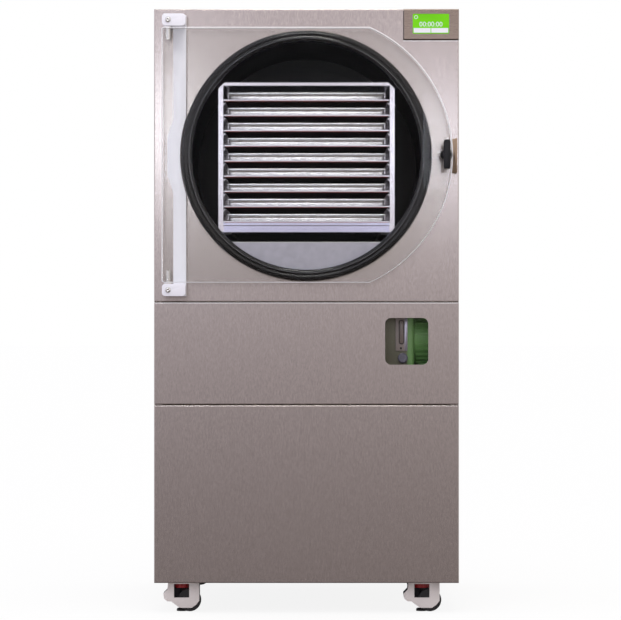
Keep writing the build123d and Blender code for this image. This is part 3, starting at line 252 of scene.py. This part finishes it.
# Near-black for the inner faces of the caster forks: painted shade.
caster_painted_shade = painted("caster_inside_painted_shade", (0.05, 0.05, 0.06), 0.6, 420, 0.0001)
wheel_nylon = painted("wheel_nylon", (0.008, 0.008, 0.009), 0.38, 700)
thumb_red = painted("thumbwheel_red", (0.42, 0.018, 0.02), 0.35, 800)
foot_rubber = painted("foot_rubber", (0.012, 0.012, 0.012), 0.6, 600, 0.0001)
brass_valve = brushed("brass_valve", (0.66, 0.50, 0.24), (1, 1, 1), 0.3, 300)
acrylic = clear("clear_acrylic", (0.985, 0.99, 0.985), 1.49, 0.93)
window_glass = clear("window_glass", (0.985, 0.99, 0.985), 1.50, 0.90)
edge_frost = painted("cut_edge", (0.94, 0.94, 0.97), 0.25, 900, 0.00003, 0.92)
# Near-black: painted shade in the bezel's seam and the rack base's fold, and dark outlines on the pump's sight
# plate.
dark_outline_and_painted_shade = painted("dark_outline_and_painted_shade", (0.03, 0.02, 0.018), 0.5, 700)
sight_plate = painted("sight_plate", (0.34, 0.285, 0.265), 0.42, 500, 0.00003, 0.85)
sight_edge = brushed("sight_edge", (0.42, 0.40, 0.48), along_z, 0.30, 900)
oil_glass = painted("oil_glass", (0.23, 0.175, 0.16), 0.12, 300, 0.00001, 0.8)
mat_edge = painted("mat_edge", (0.42, 0.055, 0.03), 0.5, 600)


def two_tone_casting():
    """Oil case paint: olive on the case, green on the flange beside the motor."""
    made = painted("pump_paint", (0.19, 0.18, 0.115), 0.42, 260, 0.0003, 0.75)
    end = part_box("pump_casing")[1].x
    share = graded(made, axes_of(made, place_on(made))["X"], end - 21 * mm, end - 17 * mm)
    olive = surface_of(made)["Base Color"].links[0].from_socket
    join(made, blend(made, share, olive, (0.20, 0.40, 0.13, 1)), surface_of(made)["Base Color"])
    return made


def lit_screen():
    """Green display that gives some light of its own."""
    made = finish("screen_green", (0.12, 0.55, 0.008), 0.12, Specular_IOR_Level=0.15)
    field = noise(made, 12, (1, 1, 2), 1)
    ramp = mottle(made, field, (0.105, 0.41, 0.004), (0.13, 0.47, 0.006))
    join(made, ramp.outputs["Color"], surface_of(made)["Emission Color"])
    surface_of(made)["Emission Strength"].default_value = 0.45
    return made


pump_paint = two_tone_casting()
screen_green = lit_screen()
screen_white = painted("screen_white", (0.86, 0.86, 0.93), 0.3, 400, 0.00001, 0.93)


def dress(made, *names):
    """Gives CAD nodes their finish."""
    for name in names:
        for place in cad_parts[name].material_slots:
            place.material = made


def on_corners(name):
    return [f"{name}_{corner}" for corner in corners]


dress(panel_steel, "upper_front_panel", "middle_front_panel", "lower_front_panel",
      "side_panel_left", "side_panel_right", "back_panel")
dress(top_steel, "top_panel")
dress(bezel_steel, "control_bezel")
dress(rack_steel, "rack_frame", "shelves")
dress(tray_steel, *[f"tray_{number + 1}" for number in range(tray_count)])
dress(zinc, "hinge_pins", "hinge_screws", "fan_motor")
dress(galvanised, "base_pan", "equipment_deck")
dress(chamber_dark, "vacuum_chamber")
dress(seal_rubber, "door_gasket")
dress(foam, "chamber_insulation")
dress(copper, "evaporator_coil")
dress(acrylic, "door")
dress(window_glass, "window_pane")
dress(white_paint, "hinge_bar")
dress(black_plastic, "latch_handle", "power_inlet")
dress(brass_and_painted_shadow, "latch_catch")
dress(silicone_painted_shade, "heater_mats")
dress(screen_green, "touch_screen")
dress(pump_green, "pump_motor")
dress(pump_paint, "pump_casing")
dress(knob_grey, "pump_drain_knob")
dress(hose_rubber, "vacuum_hose")
dress(compressor_black, "compressor")
dress(aluminium, "condenser")
dress(fan_black, "fan_blades")
dress(brass_valve, "drain_valve")
dress(ivory, *on_corners("caster_housing"))
dress(wheel_nylon, *on_corners("caster_wheel"))
dress(thumb_red, *on_corners("caster_thumbwheel"))
dress(foot_rubber, *on_corners("caster_foot"))


# ---------------------------------------------------------------------------------------------
# Making pieces
# ---------------------------------------------------------------------------------------------
def piece(name, bm, made, body, replaces=(), crease=35):
    """A finished mesh in the shared frame that rides on a body."""
    mesh = bpy.data.meshes.new(name)
    bm.to_mesh(mesh)
    bm.free()
    mesh.shade_smooth()
    mesh.set_sharp_from_angle(angle=math.radians(crease))
    for coat in (made if isinstance(made, tuple) else (made,)):
        mesh.materials.append(coat)
    thing = bpy.data.objects.new(name, mesh)
    scene.collection.objects.link(thing)
    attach(thing, body)
    if replaces:
        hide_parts(*replaces)


def merged_copy(node):
    """The node's own mesh with its loose triangles joined and its flat faces whole."""
    bm = bmesh.new()
    bm.from_mesh(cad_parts[node].data)
    bmesh.ops.remove_doubles(bm, verts=bm.verts, dist=weld)
    bmesh.ops.dissolve_limit(bm, angle_limit=math.radians(0.4), verts=bm.verts, edges=bm.edges)
    return bm


def bevel(bm, geom, width, segments, affect="EDGES", **more):
    bmesh.ops.bevel(bm, geom=geom, offset=width, segments=segments, profile=0.5, affect=affect,
                    material=-1, **more)


def round_edges(bm, width, least=30, segments=2):
    """Rounds every edge sharper than least degrees."""
    sharp = [edge for edge in bm.edges
             if len(edge.link_faces) == 2 and edge.calc_face_angle() > math.radians(least)]
    bevel(bm, sharp, width, segments, offset_type="OFFSET", clamp_overlap=True)


def cut_away(bm, place, way):
    """Cuts along a plane and keeps what lies behind it."""
    bmesh.ops.bisect_plane(bm, geom=bm.verts[:] + bm.edges[:] + bm.faces[:], dist=1e-7, plane_co=place,
                           plane_no=way, clear_outer=True)


def softened(node, width, made, body, least=30, segments=2):
    bm = merged_copy(node)
    round_edges(bm, width, least, segments)
    piece(node + "_softened", bm, made, body, (node,))


def lathe(points, centre, steps):
    """A closed ring or a solid of revolution about an axis along Y, from (radius, along) points in metres."""
    bm = bmesh.new()
    rim = [bm.verts.new(Vector(centre) + Vector((r, a, 0))) for r, a in points]
    edges = [bm.edges.new((rim[n - 1], rim[n])) for n in range(1, len(rim))]
    if points[0][0] > weld and points[-1][0] > weld:
        edges.append(bm.edges.new((rim[-1], rim[0])))
    bmesh.ops.spin(bm, geom=edges, cent=centre, axis=(0, 1, 0), angle=2 * math.pi, steps=steps, use_merge=True)
    bmesh.ops.remove_doubles(bm, verts=bm.verts, dist=weld)
    bmesh.ops.recalc_face_normals(bm, faces=bm.faces)
    return bm


def turned(points, place, steps):
    """A solid of revolution about Y at a place, from (radius, along) points in millimetres."""
    bm = lathe([(r * mm, a * mm) for r, a in points], (0, 0, 0), steps)
    bmesh.ops.translate(bm, verts=bm.verts, vec=place)
    return bm


def block(x, y, z):
    """A box from its low and high ends along each axis."""
    bm = bmesh.new()
    size = (x[1] - x[0], y[1] - y[0], z[1] - z[0])
    middle = ((x[0] + x[1]) / 2, (y[0] + y[1]) / 2, (z[0] + z[1]) / 2)
    bmesh.ops.create_cube(bm, size=1, matrix=Matrix.Translation(middle) @ Matrix.Diagonal((*size, 1)))
    return bm


def gather(parts):
    """Several meshes as one."""
    whole = bmesh.new()
    for part in parts:
        kept = bpy.data.meshes.new("part")
        part.to_mesh(kept)
        part.free()
        whole.from_mesh(kept)
        bpy.data.meshes.remove(kept)
    return whole


def rounded_plate(x, y, z, radius, edge, segments=4):
    """A plate lying across Y with round corners and a soft front edge."""
    bm = block(x, y, z)
    upright = [e for e in bm.edges if abs((e.verts[0].co - e.verts[1].co).y) > (y[1] - y[0]) / 2]
    bevel(bm, upright, radius, segments)
    if edge:
        rim = [e for e in bm.edges if all(abs(v.co.y - y[0]) < weld for v in e.verts)]
        bevel(bm, rim, edge, 2)
    return bm


# ---------------------------------------------------------------------------------------------
# Door gasket, hinge and latch
# ---------------------------------------------------------------------------------------------
def make_gasket():
    """Rubber ring with a crowned outer bead, a groove and a thinner inner lip."""
    low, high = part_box("door_gasket")
    centre = Vector((0, 0, (low.z + high.z) / 2))
    outer = (high.x - low.x) / 2
    face, depth = low.y, (high.y - low.y) / mm
    steps = 180
    profile = [
        (0, 35), (0, 13), (-0.5, 9.2), (-1.9, 5.9), (-4.0, 3.1), (-6.8, 1.1), (-10, 0.1), (-12.5, 0.7),
        (-13.6, 2.4), (-14.6, 2.6), (-15.6, 1.8), (-18, 0.5), (-22, 0.2), (-25.5, 1.6), (-28, 5), (-29, 10),
        (-29, 22), (-17.2, 22), (-17.2, 4.3), (-3.8, 4.3), (-3.8, 35),
    ]
    bm = lathe([(outer + r * mm, face + min(a, depth) * mm) for r, a in profile], centre, steps)
    piece("gasket_ring", bm, seal_rubber, "cabinet", ("door_gasket",), 50)
    # A thin moulded bead in lighter rubber, as a painted highlight line round the gasket.
    mould_line = [(-19.8, 0.6), (-20.1, 0.05), (-20.7, 0.05), (-21.0, 0.6)]
    bm = lathe([(outer + r * mm, face + a * mm) for r, a in mould_line], centre, steps)
    piece("gasket_mould_line_painted_highlight", bm, rubber_painted_highlight, "cabinet")


def button_screw(place):
    """A domed head with a hexagon socket and its shank, facing the front."""
    socket_reach = (1.0 * mm, 2.65 * mm)
    profile = [(0, 2.6), (2.2, 2.4), (2.6, 2.2), (2.6, 0.5), (3.0, 0.2), (4.4, 0.25), (5.8, 1.0),
               (6.9, 2.3), (7.45, 3.9), (7.5, 4.5), (4.0, 4.5), (4.0, 15.5), (0, 15.5)]
    bm = turned(profile, (0, 0, 0), 36)
    for vert in bm.verts:
        if socket_reach[0] < math.hypot(vert.co.x, vert.co.z) < socket_reach[1]:
            turn = math.atan2(vert.co.z, vert.co.x) % (math.pi / 3) - math.pi / 6
            flat = math.cos(math.pi / 6) / math.cos(turn)
            vert.co.x *= flat
            vert.co.z *= flat
    bmesh.ops.translate(bm, verts=bm.verts, vec=place)
    return bm


def make_hinge_screws():
    low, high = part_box("hinge_screws")
    radius = (high.x - low.x) / 2
    heights = (low.z + radius, high.z - radius)
    whole = gather([button_screw(((low.x + high.x) / 2, low.y, z)) for z in heights])
    piece("hinge_button_screws", whole, zinc, "cabinet", ("hinge_screws",), 30)


def make_hinge_and_latch():
    softened("hinge_bar", 1.6 * mm, white_paint, "cabinet", 40, 3)
    softened("latch_handle", 1.2 * mm, black_plastic, "latch", 25, 2)
    # The catch's tan is partly painted shadow of the door's edge.
    softened("latch_catch", 0.5 * mm, brass_and_painted_shadow, "cabinet")


# ---------------------------------------------------------------------------------------------
# Display
# ---------------------------------------------------------------------------------------------
def flat_words(words, size, thick):
    """Plain characters as a thin mesh lying in XY, centred."""
    curve = bpy.data.curves.new("words", "FONT")
    curve.body = words
    curve.size = size
    curve.align_x = "CENTER"
    curve.extrude = thick
    holder = bpy.data.objects.new("words", curve)
    scene.collection.objects.link(holder)
    bpy.context.view_layer.update()
    mesh = bpy.data.meshes.new_from_object(holder.evaluated_get(bpy.context.evaluated_depsgraph_get()))
    bpy.data.objects.remove(holder)
    bm = bmesh.new()
    bm.from_mesh(mesh)
    bpy.data.meshes.remove(mesh)
    return bm


def make_display():
    """Two buttons, a round mark and plain digits on the display's glass."""
    low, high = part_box("touch_screen")
    border, gap = 6 * mm, 2 * mm
    left, right = low.x + border, high.x - border
    bottom, top = low.z + border, high.z - border
    y = (low.y - 0.15 * mm, low.y + 0.05 * mm)
    button = (right - left - 3 * gap) / 2
    rise = (bottom + 2.5 * mm, bottom + 14 * mm)
    starts = (left + gap, right - gap - button)
    bm = gather([rounded_plate((start, start + button), y, rise, 0.8 * mm, 0) for start in starts])
    piece("display_buttons", bm, screen_white, "cabinet")
    ring = [(3.4, 0), (4.6, 0), (4.6, 0.2), (3.4, 0.2)]
    bm = turned(ring, (left + 8 * mm, y[0], top - 8 * mm), 40)
    piece("display_round_mark", bm, screen_white, "cabinet")
    bm = flat_words("00:00:00", 17 * mm, 0.1 * mm)
    place = Matrix.Translation(((left + right) / 2, y[0] + 0.1 * mm, bottom + 18 * mm))
    bmesh.ops.transform(bm, matrix=place @ Matrix.Rotation(math.pi / 2, 4, "X"), verts=bm.verts)
    piece("display_digits", bm, screen_white, "cabinet")


# ---------------------------------------------------------------------------------------------
# Trays, rack and weir
# ---------------------------------------------------------------------------------------------
def grow_ring(bm, ring):
    """Extrudes a loop of edges in place and gives the new corners and the new loop."""
    made = bmesh.ops.extrude_edge_only(bm, edges=ring)["geom"]
    fresh = [item for item in made if isinstance(item, bmesh.types.BMVert)]
    loop = [item for item in made if isinstance(item, bmesh.types.BMEdge) and item.is_boundary]
    return fresh, [edge for edge in loop if all(vert in fresh for vert in edge.verts)]


def make_tray(number):
    """Pressed tray: a drafted pan with round corners and a rolled rim."""
    node = f"tray_{number}"
    low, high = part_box(node)
    rim_reach, corner = 5 * mm, 8 * mm
    width, length = high.x - low.x - 2 * rim_reach, high.y - low.y - 2 * rim_reach
    profile = [
        (-6.2, 0), (-4.4, 0.4), (-2.8, 1.6), (-1.9, 3.2), (-1.6, 4.8), (-2.1, 5.3), (-2.1, 6.0), (-1.4, 6.7),
        (-0.9, 11.2), (-0.4, 12.6), (0.6, 13.8), (2.2, 14.4), (3.8, 14.5), (4.8, 15.1), (5.0, 16.5), (4.5, 17.6),
        (3.2, 18.0), (1.0, 18.0), (-0.6, 17.4), (-1.6, 16.0), (-2.8, 3.6), (-4.4, 1.9), (-6.6, 1.1),
    ]
    bm = bmesh.new()
    plan = Matrix.Diagonal((width, length, 1, 1))
    bmesh.ops.create_grid(bm, x_segments=1, y_segments=1, size=0.5, matrix=plan)
    bevel(bm, list(bm.verts), corner, 6, "VERTICES")
    first = ring = [edge for edge in bm.edges if edge.is_boundary]
    bmesh.ops.delete(bm, geom=bm.faces[:], context="FACES_ONLY")
    fresh, before = list(bm.verts), 0
    for step, (out, up) in enumerate(profile):
        if step:
            fresh, ring = grow_ring(bm, ring)
        grow_x = (width / 2 + out * mm) / (width / 2 + before * mm)
        grow_y = (length / 2 + out * mm) / (length / 2 + before * mm)
        before = out
        for vert in fresh:
            vert.co = (vert.co.x * grow_x, vert.co.y * grow_y, up * mm)
    bmesh.ops.edgeloop_fill(bm, edges=first)
    bmesh.ops.edgeloop_fill(bm, edges=ring)
    bmesh.ops.recalc_face_normals(bm, faces=bm.faces)
    bmesh.ops.translate(bm, verts=bm.verts, vec=((low.x + high.x) / 2, (low.y + high.y) / 2, low.z))
    piece(f"pressed_{node}", bm, tray_steel, "cabinet", (node,), 50)
    # Glossy steel strips at the front corners of the tray: painted highlights where its rounded corners catch
    # light.
    ends = []
    y, z = (low.y + 1.6 * mm, low.y + 4.5 * mm), (low.z + 2.5 * mm, low.z + 14.6 * mm)
    for side in (-1, 1):
        x = sorted((side * (width / 2 - 0.4 * mm), side * (width / 2 - 2.0 * mm)))
        ends.append(rounded_plate(x, y, z, 0.6 * mm, 0))
    piece(f"{node}_corner_painted_highlights", gather(ends), rack_steel, "cabinet")


def make_rack_base():
    """The folded front of the rack's base: two bright faces with a near-black strip between them, the fold's
    painted shade.
    """
    low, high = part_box("rack_frame")
    x = (low.x + 13 * mm, high.x - 13 * mm)
    seam = (low.z + 15.3 * mm, low.z + 16.9 * mm)
    # Painted shade: a near-black strip where the fold lies.
    bm = block(x, (low.y - 0.05 * mm, low.y + 0.6 * mm), seam)
    piece("rack_base_fold_painted_shade", bm, dark_outline_and_painted_shade, "cabinet")
    y = (low.y - 0.03 * mm, low.y + 0.3 * mm)
    faces = [block(x, y, (low.z + 0.4 * mm, low.z + 15.2 * mm)),
             block(x, y, (low.z + 17 * mm, low.z + 23.6 * mm))]
    piece("rack_base_face", gather(faces), base_steel, "cabinet")


def shelf_tooth(end, way, front, top):
    """A small three-cornered tab in the corner under a shelf."""
    leg, thick = 5.5 * mm, 1.6 * mm
    bm = bmesh.new()
    corner = [(0, 0), (way * leg, 0), (0, -leg)]
    face = bm.faces.new([bm.verts.new((end + x, front, top + rise)) for x, rise in corner])
    out = bmesh.ops.extrude_face_region(bm, geom=[face])["geom"]
    bmesh.ops.translate(bm, verts=[v for v in out if isinstance(v, bmesh.types.BMVert)], vec=(0, thick, 0))
    bmesh.ops.recalc_face_normals(bm, faces=bm.faces)
    return bm


def make_shelf_edges():
    """Front edges of the heater mats, bright front lips of the shelves, and the teeth that hold them."""
    low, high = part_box("rack_frame")
    mats_low, mats_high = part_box("heater_mats")
    shelf_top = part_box("shelves")[1].z
    mat_thickness = 2 * mm
    pitch = (mats_high.z - mats_low.z - mat_thickness) / (tray_count - 1)
    strips, lips, teeth = [], [], []
    for number in range(tray_count):
        mat, shelf = mats_low.z + number * pitch, shelf_top - number * pitch
        strips.append(block((mats_low.x, mats_high.x), (mats_low.y - 0.1 * mm, mats_low.y + 3 * mm),
                            (mat + 0.7 * mm, mat + mat_thickness)))
        lips.append(block((mats_low.x - 4 * mm, mats_high.x + 4 * mm), (low.y - 0.2 * mm, low.y + 1.2 * mm),
                          (shelf - 2.4 * mm, shelf + 0.1 * mm)))
        for end, way in ((low.x + 12.6 * mm, 1), (high.x - 12.6 * mm, -1)):
            teeth.append(shelf_tooth(end, way, low.y + 1.2 * mm, mat - 4.5 * mm))
    piece("mat_front_edges", gather(strips), mat_edge, "cabinet")
    piece("shelf_front_lips", gather(lips), rack_steel, "cabinet")
    piece("shelf_teeth", gather(teeth), rack_steel, "cabinet")


def make_weir():
    """The light plate low in the chamber's mouth, and its upper lip."""
    bore_low, bore_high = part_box("vacuum_chamber")
    gasket_low, gasket_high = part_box("door_gasket")
    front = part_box("upper_front_panel")[0].y
    centre = (gasket_low.z + gasket_high.z) / 2
    radius = (bore_high.x - bore_low.x) / 2 - 13.2 * mm
    drop = 215.5 * mm
    top = centre - drop
    bm = bmesh.new()
    place = Matrix.Translation((0, front + 7.9 * mm, centre)) @ Matrix.Rotation(math.pi / 2, 4, "X")
    bmesh.ops.create_circle(bm, cap_ends=True, segments=160, radius=radius, matrix=place)
    cut_away(bm, (0, 0, top), (0, 0, 1))
    piece("weir_face", bm, weir_steel, "cabinet")
    half = math.sqrt(radius ** 2 - drop ** 2)
    lip = block((-half, half), (front + 7.4 * mm, front + 11 * mm), (top - 0.2 * mm, top + 1.2 * mm))
    piece("weir_lip", lip, zinc, "cabinet")


# ---------------------------------------------------------------------------------------------
# Pump seen through the window
# ---------------------------------------------------------------------------------------------
def make_pump_front():
    """Sight plate with its oil glass, on the oil case."""
    low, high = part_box("pump_casing")
    left, top = low.x + 40 * mm, high.z - 28 * mm
    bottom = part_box("pump_drain_knob")[1].z + 5.5 * mm
    slot, rise = (left + 8 * mm, left + 22 * mm), (bottom + 16 * mm, bottom + 78 * mm)
    border = 2.3 * mm
    inner_slot, inner_rise = (slot[0] + border, slot[1] - border), (rise[0] + border, rise[1] - border)
    screw = (left + 11 * mm, left + 16 * mm), (bottom + 4 * mm, bottom + 9 * mm)
    plates = (
        ("plate", sight_plate, (left, left + 22.8 * mm), (-0.4, 0.4), (bottom, top), 1, 0.3, 4),
        ("flange", sight_edge, (left + 23 * mm, left + 30 * mm), (-0.4, 0.4), (bottom, top), 1, 0.3, 4),
        ("screw", dark_outline_and_painted_shade, screw[0], (-0.7, 0), screw[1], 0.8, 0.1, 4),
        ("frame", dark_outline_and_painted_shade, slot, (-0.9, 0), rise, 6.9, 0.4, 8),
        ("glass", oil_glass, inner_slot, (-1.1, -0.3), inner_rise, 4.6, 0.2, 8),
    )
    for name, made, x, reach, z, radius, edge, segments in plates:
        y = (low.y + reach[0] * mm, low.y + reach[1] * mm)
        bm = rounded_plate(x, y, z, radius * mm, edge * mm, segments)
        piece(f"pump_sight_{name}", bm, made, "cabinet")


# ---------------------------------------------------------------------------------------------
# Door edges, bezel seam, back panel
# ---------------------------------------------------------------------------------------------
def make_door_edges():
    """The chamfers round the door, cut and only lightly polished."""
    bm = merged_copy("door")
    away = [face for face in bm.faces if not 0.3 < abs(face.normal.y) < 0.95]
    bmesh.ops.delete(bm, geom=away, context="FACES")
    pin_low, pin_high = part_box("hinge_pins")
    pin = (pin_low + pin_high) / 2
    bore_reach = 12 * mm
    bores = [face for face in bm.faces if (face.calc_center_median() - pin).to_2d().length < bore_reach]
    bmesh.ops.delete(bm, geom=bores, context="FACES")
    for vert in bm.verts:
        vert.co += vert.normal * 0.06 * mm
    piece("door_cut_edges", bm, edge_frost, "door")


def make_bezel_seam():
    """The dark seam round the control bezel, drawn as a near-black strip of painted shade, and bright strips
    below it and at the panel's foot, painted highlights where the folded hems catch light.
    """
    low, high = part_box("control_bezel")
    panel_low, panel_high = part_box("upper_front_panel")
    front = panel_low.y
    x, y = (low.x - 1.4 * mm, high.x - 2 * mm), (front - 0.5 * mm, front + 1 * mm)
    # Painted shade in the gap at the bezel's left and bottom.
    upright = block((x[0], low.x - 0.1 * mm), y, (low.z - 1.4 * mm, high.z - 2 * mm))
    level = block(x, y, (low.z - 1.4 * mm, low.z - 0.1 * mm))
    piece("bezel_seam_painted_shade", gather([upright, level]), dark_outline_and_painted_shade, "cabinet")
    # Painted highlights: bright zinc strips where the hem under the bezel and the lower panel's fold catch
    # light.
    under = block(x, y, (low.z - 3.2 * mm, low.z - 1.5 * mm))
    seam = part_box("middle_front_panel")[1].z
    hem_highlight = block((panel_low.x + 2 * mm, panel_high.x - 2 * mm), (front - 0.3 * mm, front + 1 * mm),
                (seam - 2.2 * mm, seam + 0.4 * mm))
    piece("hem_painted_highlights", gather([under, hem_highlight]), zinc, "cabinet")


def louvre_hood(middle, back, z):
    """A quarter of a flattened round bar that throws rain and dust off a louvre."""
    radius, width, flattening = 9 * mm, 196 * mm, 0.42
    place = Matrix.Translation((middle, back, z)) @ Matrix.Diagonal((1, flattening, 1, 1))
    bm = bmesh.new()
    bmesh.ops.create_cone(bm, cap_ends=True, segments=16, radius1=radius, radius2=radius, depth=width,
                          matrix=place @ Matrix.Rotation(math.pi / 2, 4, "Y"))
    cut_away(bm, (0, back + 0.1 * mm, 0), (0, -1, 0))
    cut_away(bm, (0, 0, z - 2 * mm), (0, 0, -1))
    return bm


def make_back_details():
    """Pressed hoods over the louvres and pan-head screws round the back panel."""
    low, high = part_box("back_panel")
    back = high.y
    lowest, pitch, rows, off_middle = 143 * mm, 20 * mm, 14, 114 * mm
    hoods = [louvre_hood(side * off_middle, back, lowest + row * pitch)
             for row in range(rows) for side in (-1, 1)]
    piece("louvre_hoods", gather(hoods), panel_steel, "cabinet")
    head = ((0, 1.9), (2.0, 1.8), (3.4, 1.2), (4.1, 0.2), (4.1, 0), (0, 0))
    screws = [turned(head, (x, back, z), 24)
              for x in (low.x + 12 * mm, high.x - 12 * mm)
              for z in (low.z + 20 * mm, 480 * mm, 780 * mm, 1120 * mm, high.z - 30 * mm)]
    piece("back_panel_screws", gather(screws), zinc, "cabinet")


# ---------------------------------------------------------------------------------------------
# Casters
# ---------------------------------------------------------------------------------------------
def make_casters():
    """Cast housings with rounded edges; the inside of the fork is painted shade, a near-black material on its
    inner faces.
    """
    for corner in corners:
        node = f"caster_housing_{corner}"
        low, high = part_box(node)
        middle = (low.y + high.y) / 2
        fork_wall, crown = 4.6 * mm, 3 * mm
        inner = (high.y - low.y) / 2 - fork_wall
        bm = merged_copy(node)
        round_edges(bm, 1.3 * mm, 35, 2)
        # Faces inside the fork get the near-black painted shade.
        for face in bm.faces:
            spot = face.calc_center_median()
            if abs(spot.y - middle) < inner and spot.z < high.z - crown:
                face.material_index = 1
        piece(node + "_cast", bm, (ivory, caster_painted_shade), node, (node,))


# ---------------------------------------------------------------------------------------------
# Studio and camera
# ---------------------------------------------------------------------------------------------
def lit_world():
    """Pale room: plain white behind the object, and a soft wall of light in front of it."""
    world = bpy.data.worlds.new("studio")
    scene.world = world
    world.use_nodes = True
    x, y, z = axes_of(world, add(world, "ShaderNodeTexCoord").outputs["Generated"])
    wall = add(world, "ShaderNodeValToRGB")
    levels = [(0.0, (0.36, 0.30, 0.27)), (0.20, (0.90, 0.83, 0.83)), (0.27, (1.08, 1.02, 1.09)),
              (0.36, (1.12, 1.07, 1.12)), (0.50, (0.98, 0.95, 0.96)), (1.0, (1.0, 1.0, 1.0))]
    stops = wall.color_ramp.elements
    while len(stops) < len(levels):
        stops.new(0.5)
    for stop, (position, colour) in zip(stops, levels):
        stop.position, stop.color = position, (*colour, 1)
    join(world, graded(world, z, -0.2, 0.8), wall.inputs["Fac"])
    cool_left, warm_right = (1.0, 1.0, 1.09, 1), (0.99, 0.955, 0.93, 1)
    cast = blend(world, graded(world, x, -0.12, 0.12), cool_left, warm_right)
    tinted = blend(world, 1.0, wall.outputs["Color"], cast, "MULTIPLY")
    behind = graded(world, y, 0.1, 0.4)
    plain = worked_out(world, "MAXIMUM", add(world, "ShaderNodeLightPath").outputs["Is Camera Ray"], behind)
    join(world, blend(world, plain, tinted, (1, 1, 1, 1)), world.node_tree.nodes["Background"].inputs["Color"])


def make_floor():
    """Pale floor: near white where it is seen, with the object's shadow, and warm and dark in reflections."""
    made = finish("pale_floor", (0.45, 0.44, 0.43), 0.9)
    grain = mottle(made, noise(made, 3), (0.145, 0.117, 0.103), (0.165, 0.137, 0.121)).outputs["Color"]
    rays = add(made, "ShaderNodeLightPath").outputs
    x, y = axes_of(made, add(made, "ShaderNodeTexCoord").outputs["Object"])[:2]
    within = graded(made, worked_out(made, "ABSOLUTE", x), 2.2, 0.9)
    ahead = graded(made, y, -0.25, -0.5)
    in_front = worked_out(made, "MULTIPLY", within, ahead)
    mirrored = worked_out(made, "MULTIPLY", in_front, rays["Is Glossy Ray"])
    tone = blend(made, mirrored, (0.46, 0.44, 0.43, 1), grain)
    shown = blend(made, rays["Is Camera Ray"], tone, (0.97, 0.97, 0.97, 1))
    join(made, shown, surface_of(made)["Base Color"])
    glow = add(made, "ShaderNodeEmission", Strength=1.0, Color=(1, 1, 1, 1))
    glow_share = 0.88
    part_shader(made, worked_out(made, "MULTIPLY", rays["Is Camera Ray"], glow_share), glow)
    bm = bmesh.new()
    half_width = 60
    bmesh.ops.create_grid(bm, x_segments=1, y_segments=1, size=half_width)
    mesh = bpy.data.meshes.new("floor")
    bm.to_mesh(mesh)
    bm.free()
    mesh.materials.append(made)
    floor = bpy.data.objects.new("floor", mesh)
    floor.location.z = cad_low.z
    scene.collection.objects.link(floor)


def softbox(name, place, target, size, power, colour):
    lamp = bpy.data.lights.new(name, "AREA")
    lamp.shape = "RECTANGLE"
    lamp.size, lamp.size_y = size
    lamp.energy = power
    lamp.color = colour
    holder = bpy.data.objects.new(name, lamp)
    holder.location = place
    holder.rotation_mode = "QUATERNION"
    holder.rotation_quaternion = (Vector(target) - Vector(place)).to_track_quat("-Z", "Y")
    holder.visible_camera = False
    holder.visible_transmission = False
    scene.collection.objects.link(holder)


def make_studio():
    lit_world()
    make_floor()
    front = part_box("upper_front_panel")[0].y
    ahead = front - 2.2
    lamps = (
        ("left_softbox", (-0.50, ahead, 1.33), (-0.40, front, 1.20), (0.20, 0.34), 1.55, (0.84, 0.90, 1.0)),
        ("right_softbox", (0.425, ahead, 1.29), (0.34, front, 1.17), (0.12, 0.30), 0.95, (0.82, 0.87, 1.0)),
        ("overhead_softbox", (0, front - 1.3, 3.0), (0, front, 1.2), (0.9, 0.22), 16.0, (1.0, 0.98, 0.95)),
    )
    for lamp in lamps:
        softbox(*lamp)
    lens_distance, seen_width, lens_height, aside = 8.0, 1.5525, 0.75875, 0.010
    data = bpy.data.cameras.new("camera")
    data.sensor_width = 36
    data.lens = data.sensor_width * lens_distance / seen_width
    camera = bpy.data.objects.new("camera", data)
    camera.location = (aside, front - lens_distance, lens_height)
    camera.rotation_euler = (math.pi / 2, 0, 0)
    scene.collection.objects.link(camera)
    scene.camera = camera
    scene.view_settings.view_transform = "Standard"


make_gasket()
make_hinge_screws()
make_hinge_and_latch()
make_display()
for tray_number in range(tray_count):
    make_tray(tray_number + 1)
make_rack_base()
make_shelf_edges()
make_weir()
make_pump_front()
make_door_edges()
make_bezel_seam()
make_back_details()
make_casters()
make_studio()
